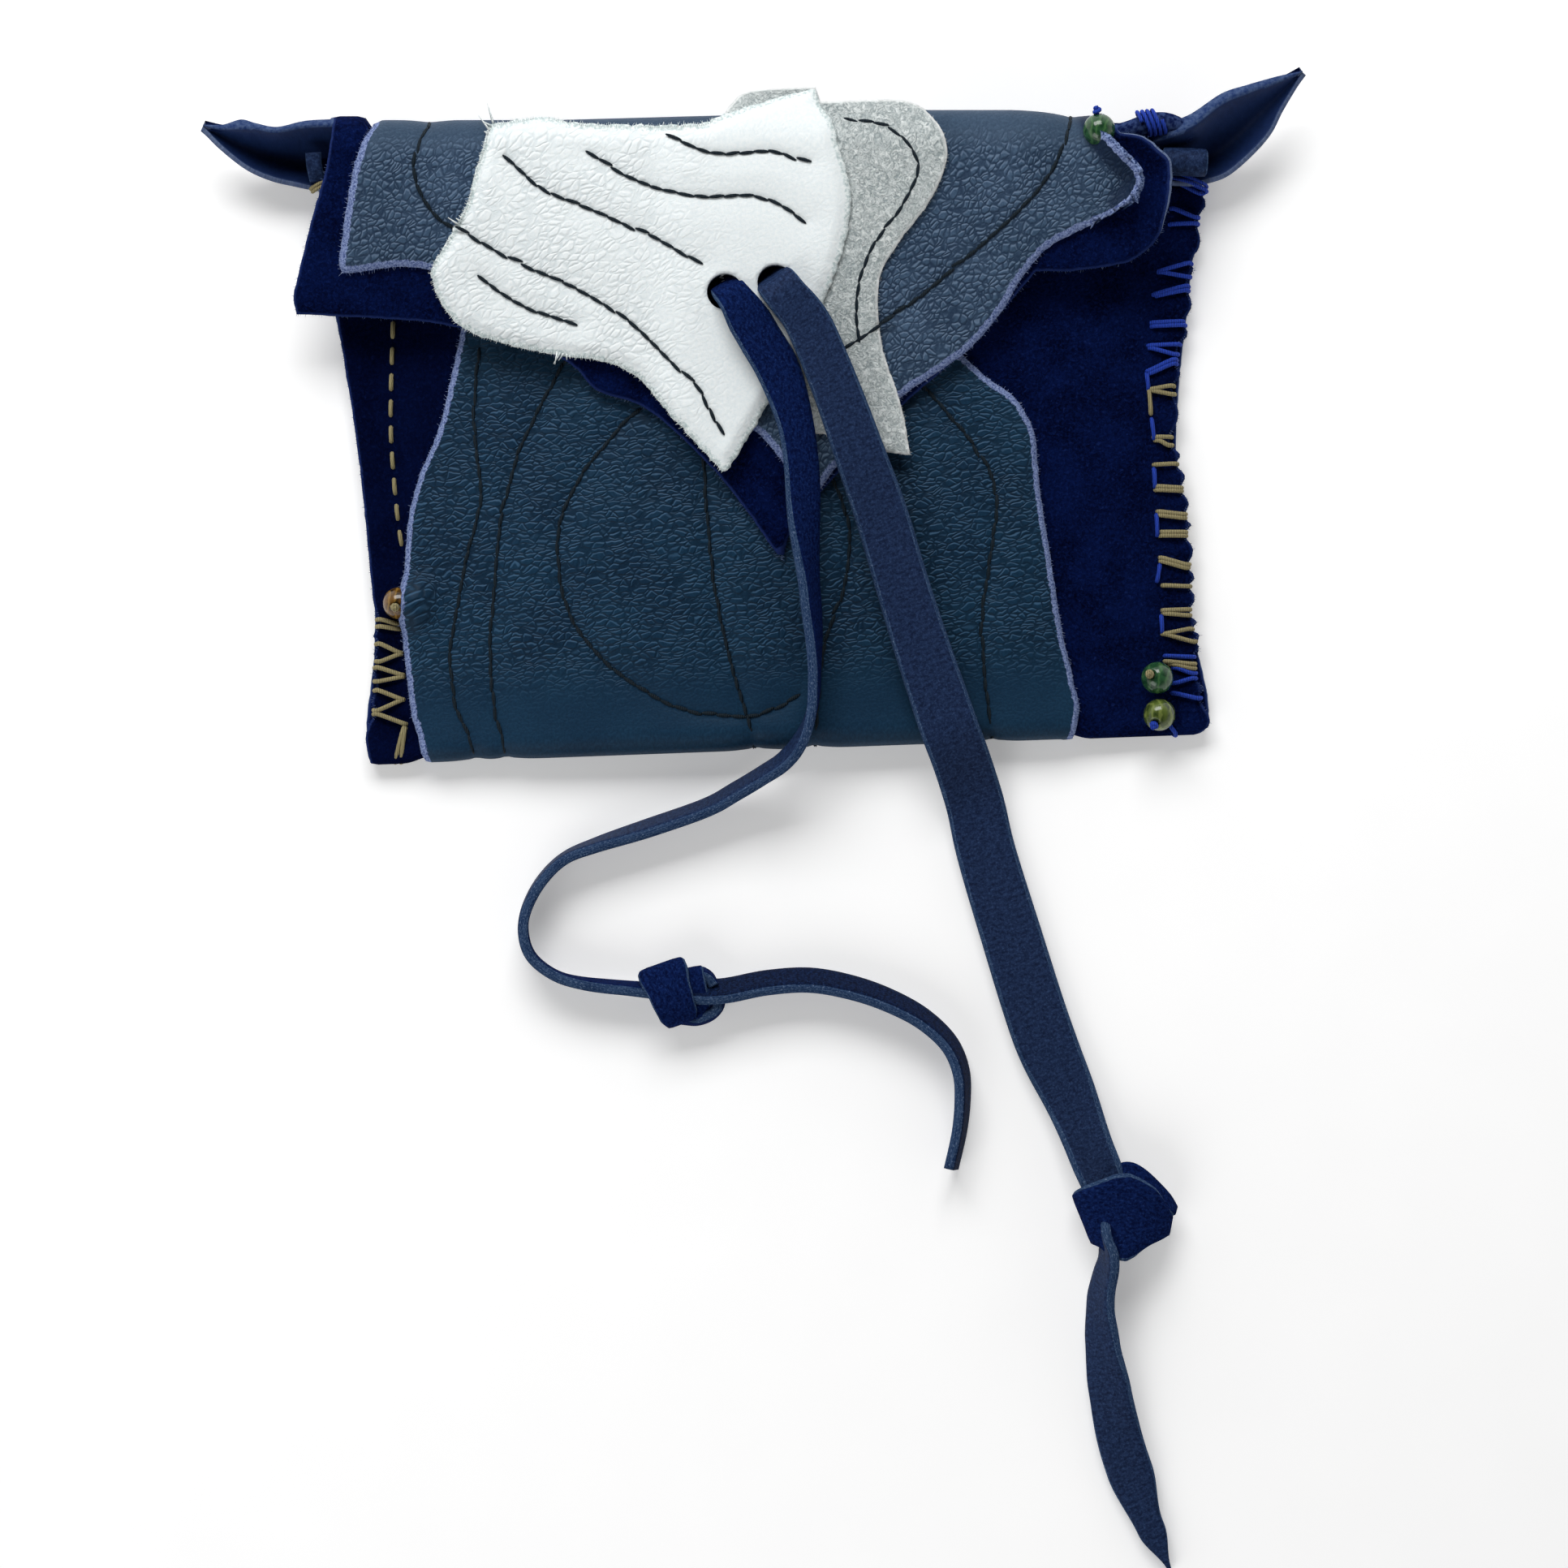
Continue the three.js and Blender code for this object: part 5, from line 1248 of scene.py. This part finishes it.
def looped(route, widths, ups, faces=SUEDE_UP):
    """A short run of lace whose face is turned as the given vectors say."""
    line = drawn(route, 0.5)
    share = np.linspace(0, 1, len(line))
    stations = np.linspace(0, 1, len(ups))
    lean = np.column_stack([np.interp(share, stations, np.array(ups, float)[:, k]) for k in range(3)])
    return line, np.interp(share, *np.array(widths, float).T), lean, faces, 0 * share


FLAT_UP = [(0, 0, 1), (0, 0, 1)]
left_band = [(-200, 7), (-90, 9), (-10, 6.5), (10, 7.8), (45, 9.6), (90, 10.6), (140, 12.4), (165, 12.2)]
left_band += [(180, 10.4), (210, 9)]
left_knot = laced(
    "left_lace_knot",
    [wound((-19.8, -140.4, 5.9), (0.33, -0.944), (0.944, 0.33), (6.7, 4.3), 1, left_band),
     wound((-17, -140.3, 5.4), (0.2, -0.98), (0.98, 0.2), (4.6, 2.6), 0, [(-200, 12), (210, 12)]),
     looped([(-17.5, -146.6, 4), (-13.4, -146.9, 4.4), (-10, -145.4, 5), (-8.3, -143, 5.6), (-9.5, -140, 5.8)],
            [(0, 5), (0.5, 6), (1, 6)], [(0.2, -1, 0.3), (0.6, -0.8, 0.2), (1, 0.1, 0.2), (0.4, 1, 0)]),
     looped([(-15.5, -144, 5.6), (-12, -144, 6.2), (-9.4, -142.6, 6)], [(0, 6.2), (1, 4.6)], FLAT_UP),
     looped([(-17, -136, 4.4), (-13.5, -135.4, 5), (-11, -136.4, 5), (-9.6, -138.6, 5)],
            [(0, 5), (0.5, 5), (1, 5)], [(0.1, 1, 0.2), (0.5, 0.8, 0.2), (1, 0.2, 0)])],
)
right_band = [(0, 10), (0.17, 13.6), (0.3, 17), (0.44, 21), (0.53, 21.6), (0.6, 19.4), (0.68, 16)]
right_band += [(0.76, 11.6), (0.88, 6), (1, 4)]
right_ups = [(0, 0, -1), (-0.92, -0.38, -0.3), (-0.75, -0.31, 0.5), (-0.34, -0.14, 0.93), (0, 0, 1)]
right_ups += [(0.25, 0, 0.97), (0.6, -0.1, 0.75), (0.95, -0.2, 0.2), (0.2, 0, -1)]
right_wrap = [(85.6, -196, 2.8), (82.2, -195.7, 4.4), (81.8, -195.3, 7.2), (84.4, -194.7, 10)]
right_wrap += [(89.6, -194.6, 11.4), (95, -195, 10.6), (99.4, -196.2, 8.2), (101.4, -197, 5.2), (99.6, -196.6, 2.8)]
right_knot = laced(
    "right_lace_knot",
    [looped(right_wrap, right_band, right_ups),
     wound((90.4, -194, 5.4), (0.98, -0.2), (0.2, 0.98), (6, 3), 0, [(-200, 8), (210, 8)]),
     looped([(88, -185.2, 5.6), (91.4, -183.7, 6.4), (94.4, -184.9, 6.9), (98, -188.2, 7), (101.2, -191.7, 6.4),
             (102.8, -193.9, 5.2)],
            [(0, 4), (0.3, 4.2), (0.8, 4.2), (1, 3.4)],
            [(0, 0.3, 1), (0.1, 0.4, 1), (0.4, 0.4, 0.9), (0.7, 0.3, 0.5)])],
)
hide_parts("left_lace")
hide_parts("right_lace")
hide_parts("left_knot")
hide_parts("right_knot")
left_path = drawn(LEFT_ROUTE, 2.0)
right_path = np.vstack([drawn(RIGHT_ROUTE, 2.0)[:-3], drawn(TAIL_ROUTE, 2.0)[2:-4]])

# ---- Lace bridge
# Between its two holes the lace runs on behind the flap, as one strip with both ends. Only a few
# millimetres of it can be seen, in the holes.
bridge_route = [(-7.4, 30.2, 17.2), (-0.6, 30.5, 17.2), (5.6, 31.6, 17.2)]
bridge = laced("lace_bridge_run", [looped(bridge_route, [(0, 6.6), (1, 6.6)], FLAT_UP)])
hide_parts("lace_bridge")

# ---- Corner tabs
# Scraps of leather are caught in the upper corners of the side seams: a rolled one on the right, and a
# narrow one on the left, held by tan thread.
right_tab_widths = [(-200, 11), (400, 11)]
right_tab = laced(
    "right_corner_tab",
    [wound((104.8, 61.8, 15.4), (0.04, 1), (1, -0.04), (2.1, 2.1), 0, right_tab_widths, 250, -0.95, GRAIN_UP)],
    "pouch",
)
left_tab_route = [(-106.9, 64.5, 13), (-106.7, 61.4, 12.4), (-106.2, 58.2, 10.6)]
left_tab_ups = [(0, 0.2, 1), (0, 0.4, 1)]
left_tab = laced(
    "left_corner_tab", [looped(left_tab_route, [(0, 3.8), (1, 3.8)], left_tab_ups, GRAIN_UP)], "pouch"
)
CORNER_TAN = [
    [(-108, 56.2, 8.6), (-107.2, 56.5, 10.4), (-105.8, 57.2, 11.2), (-104.4, 57.9, 11), (-103.6, 58.4, 9.6)],
    [(-107.6, 55.6, 8.4), (-106.8, 55.8, 10.2), (-105.4, 56.4, 11), (-104.2, 57, 10.8), (-103.4, 57.4, 9.4)],
]
strands("left_corner_thread", CORNER_TAN, 0.5, tan_thread, "pouch")

# ---- Fold bead
# The fourth bead sits on the top fold at the curled corner. Its blue thread goes through its bore into the
# flap, so it moves with the flap.
bead("fold_bead", (83.5, 68.5, 22.4), (-0.12, 0.97, 0.3), green_stone, "green_stone", blue_thread, "flap")

# ---- Sheet outlines
# The outlines of the six soft sheets are drawn out as even rings in metres, and nothing more is done with them.
def declared(outline):
    """Draws a sheet's outline as an even ring in metres; the ring is not used."""
    ring = drawn([*outline, outline[0]], 0.5) * MM


declared(lining_outline)
declared(panel_outline)
declared(flap_lining_outline)
declared(flap_leather_outline)
declared(grey_outline)
declared(white_outline)

# ---- Floor and light
# The bag lies on a white sheet of paper. A large soft lamp stands beyond the top fold and a weaker one in
# front, and the room is bright near the horizon and dim overhead.
def paper(name):
    """White paper: matt, with flecks of a few centimetres. To the eye it is a little brighter than lit."""
    made, tree, shader = material(name)
    place = put(tree, "TexCoord", out="Object")
    fleck = put(tree, "TexNoise", {"Vector": place, "Scale": 40.0, "Detail": 2.0})
    colour = put(tree, "Mix", {0: fleck, 6: "#f6f6f6", 7: "#fafafa"}, 2, **COLOURS)
    path = put(tree, "LightPath").node.outputs
    seen = path["Is Camera Ray"]
    for ray in ("Is Glossy Ray", "Is Transmission Ray"):
        seen = put(tree, "Math", {0: seen, 1: path[ray]}, operation="MAXIMUM")
    glow = put(tree, "Math", {0: seen, 1: 0.25}, **TIMES)
    join(tree, shader, {"Base Color": colour, "Roughness": 0.9, "Specular IOR Level": 0.0})
    join(tree, shader, {"Emission Color": (1, 1, 1, 1), "Emission Strength": glow})
    return made


bm = bmesh.new()
bmesh.ops.create_grid(bm, x_segments=1, y_segments=1, size=6, matrix=Matrix.Translation((0, 0, -0.0002)))
floor = shown("floor", meshed("floor", bm), [paper("white paper")])


def lamp(name, place, target, size, power):
    """A soft lamp, in metres and watts, that faces its target."""
    light = bpy.data.lights.new(name, "AREA")
    light.shape = "RECTANGLE"
    light.size, light.size_y = size
    light.energy = power
    piece = bpy.data.objects.new(name, light)
    piece.location = place
    piece.rotation_euler = (Vector(target) - Vector(place)).to_track_quat("-Z", "Y").to_euler()
    bpy.context.scene.collection.objects.link(piece)


lamp("key", (-0.15, 0.75, 0.75), (0, -0.05, 0), (0.9, 0.5), 10.5)
lamp("fill", (-0.5, -0.9, 0.7), (0, -0.05, 0), (0.8, 0.6), 3.4)
world = bpy.context.scene.world or bpy.data.worlds.new("studio")
bpy.context.scene.world = world
world.use_nodes = True
sky = world.node_tree
way = put(sky, "TexCoord", out="Generated")
level = put(sky, "SeparateXYZ", {0: way}, 2)
strength = put(sky, "MapRange", {0: level, 1: 0.1, 2: 0.75, 3: 1.0, 4: 0.06}, **SMOOTH)
join(sky, sky.nodes["Background"], {"Color": (1, 1, 1, 1), "Strength": strength})

# ---- Camera
# It looks straight down from a metre above the table, as the photo does, and takes in the bag and both
# lace ends.
camera = bpy.data.objects.new("camera", bpy.data.cameras.new("camera"))
camera.data.lens = 93.17
camera.data.sensor_width = 36
camera.location = (0.0076, -0.0891, 1.0)
bpy.context.scene.collection.objects.link(camera)
bpy.context.scene.camera = camera
bpy.context.scene.view_settings.view_transform = "Standard"
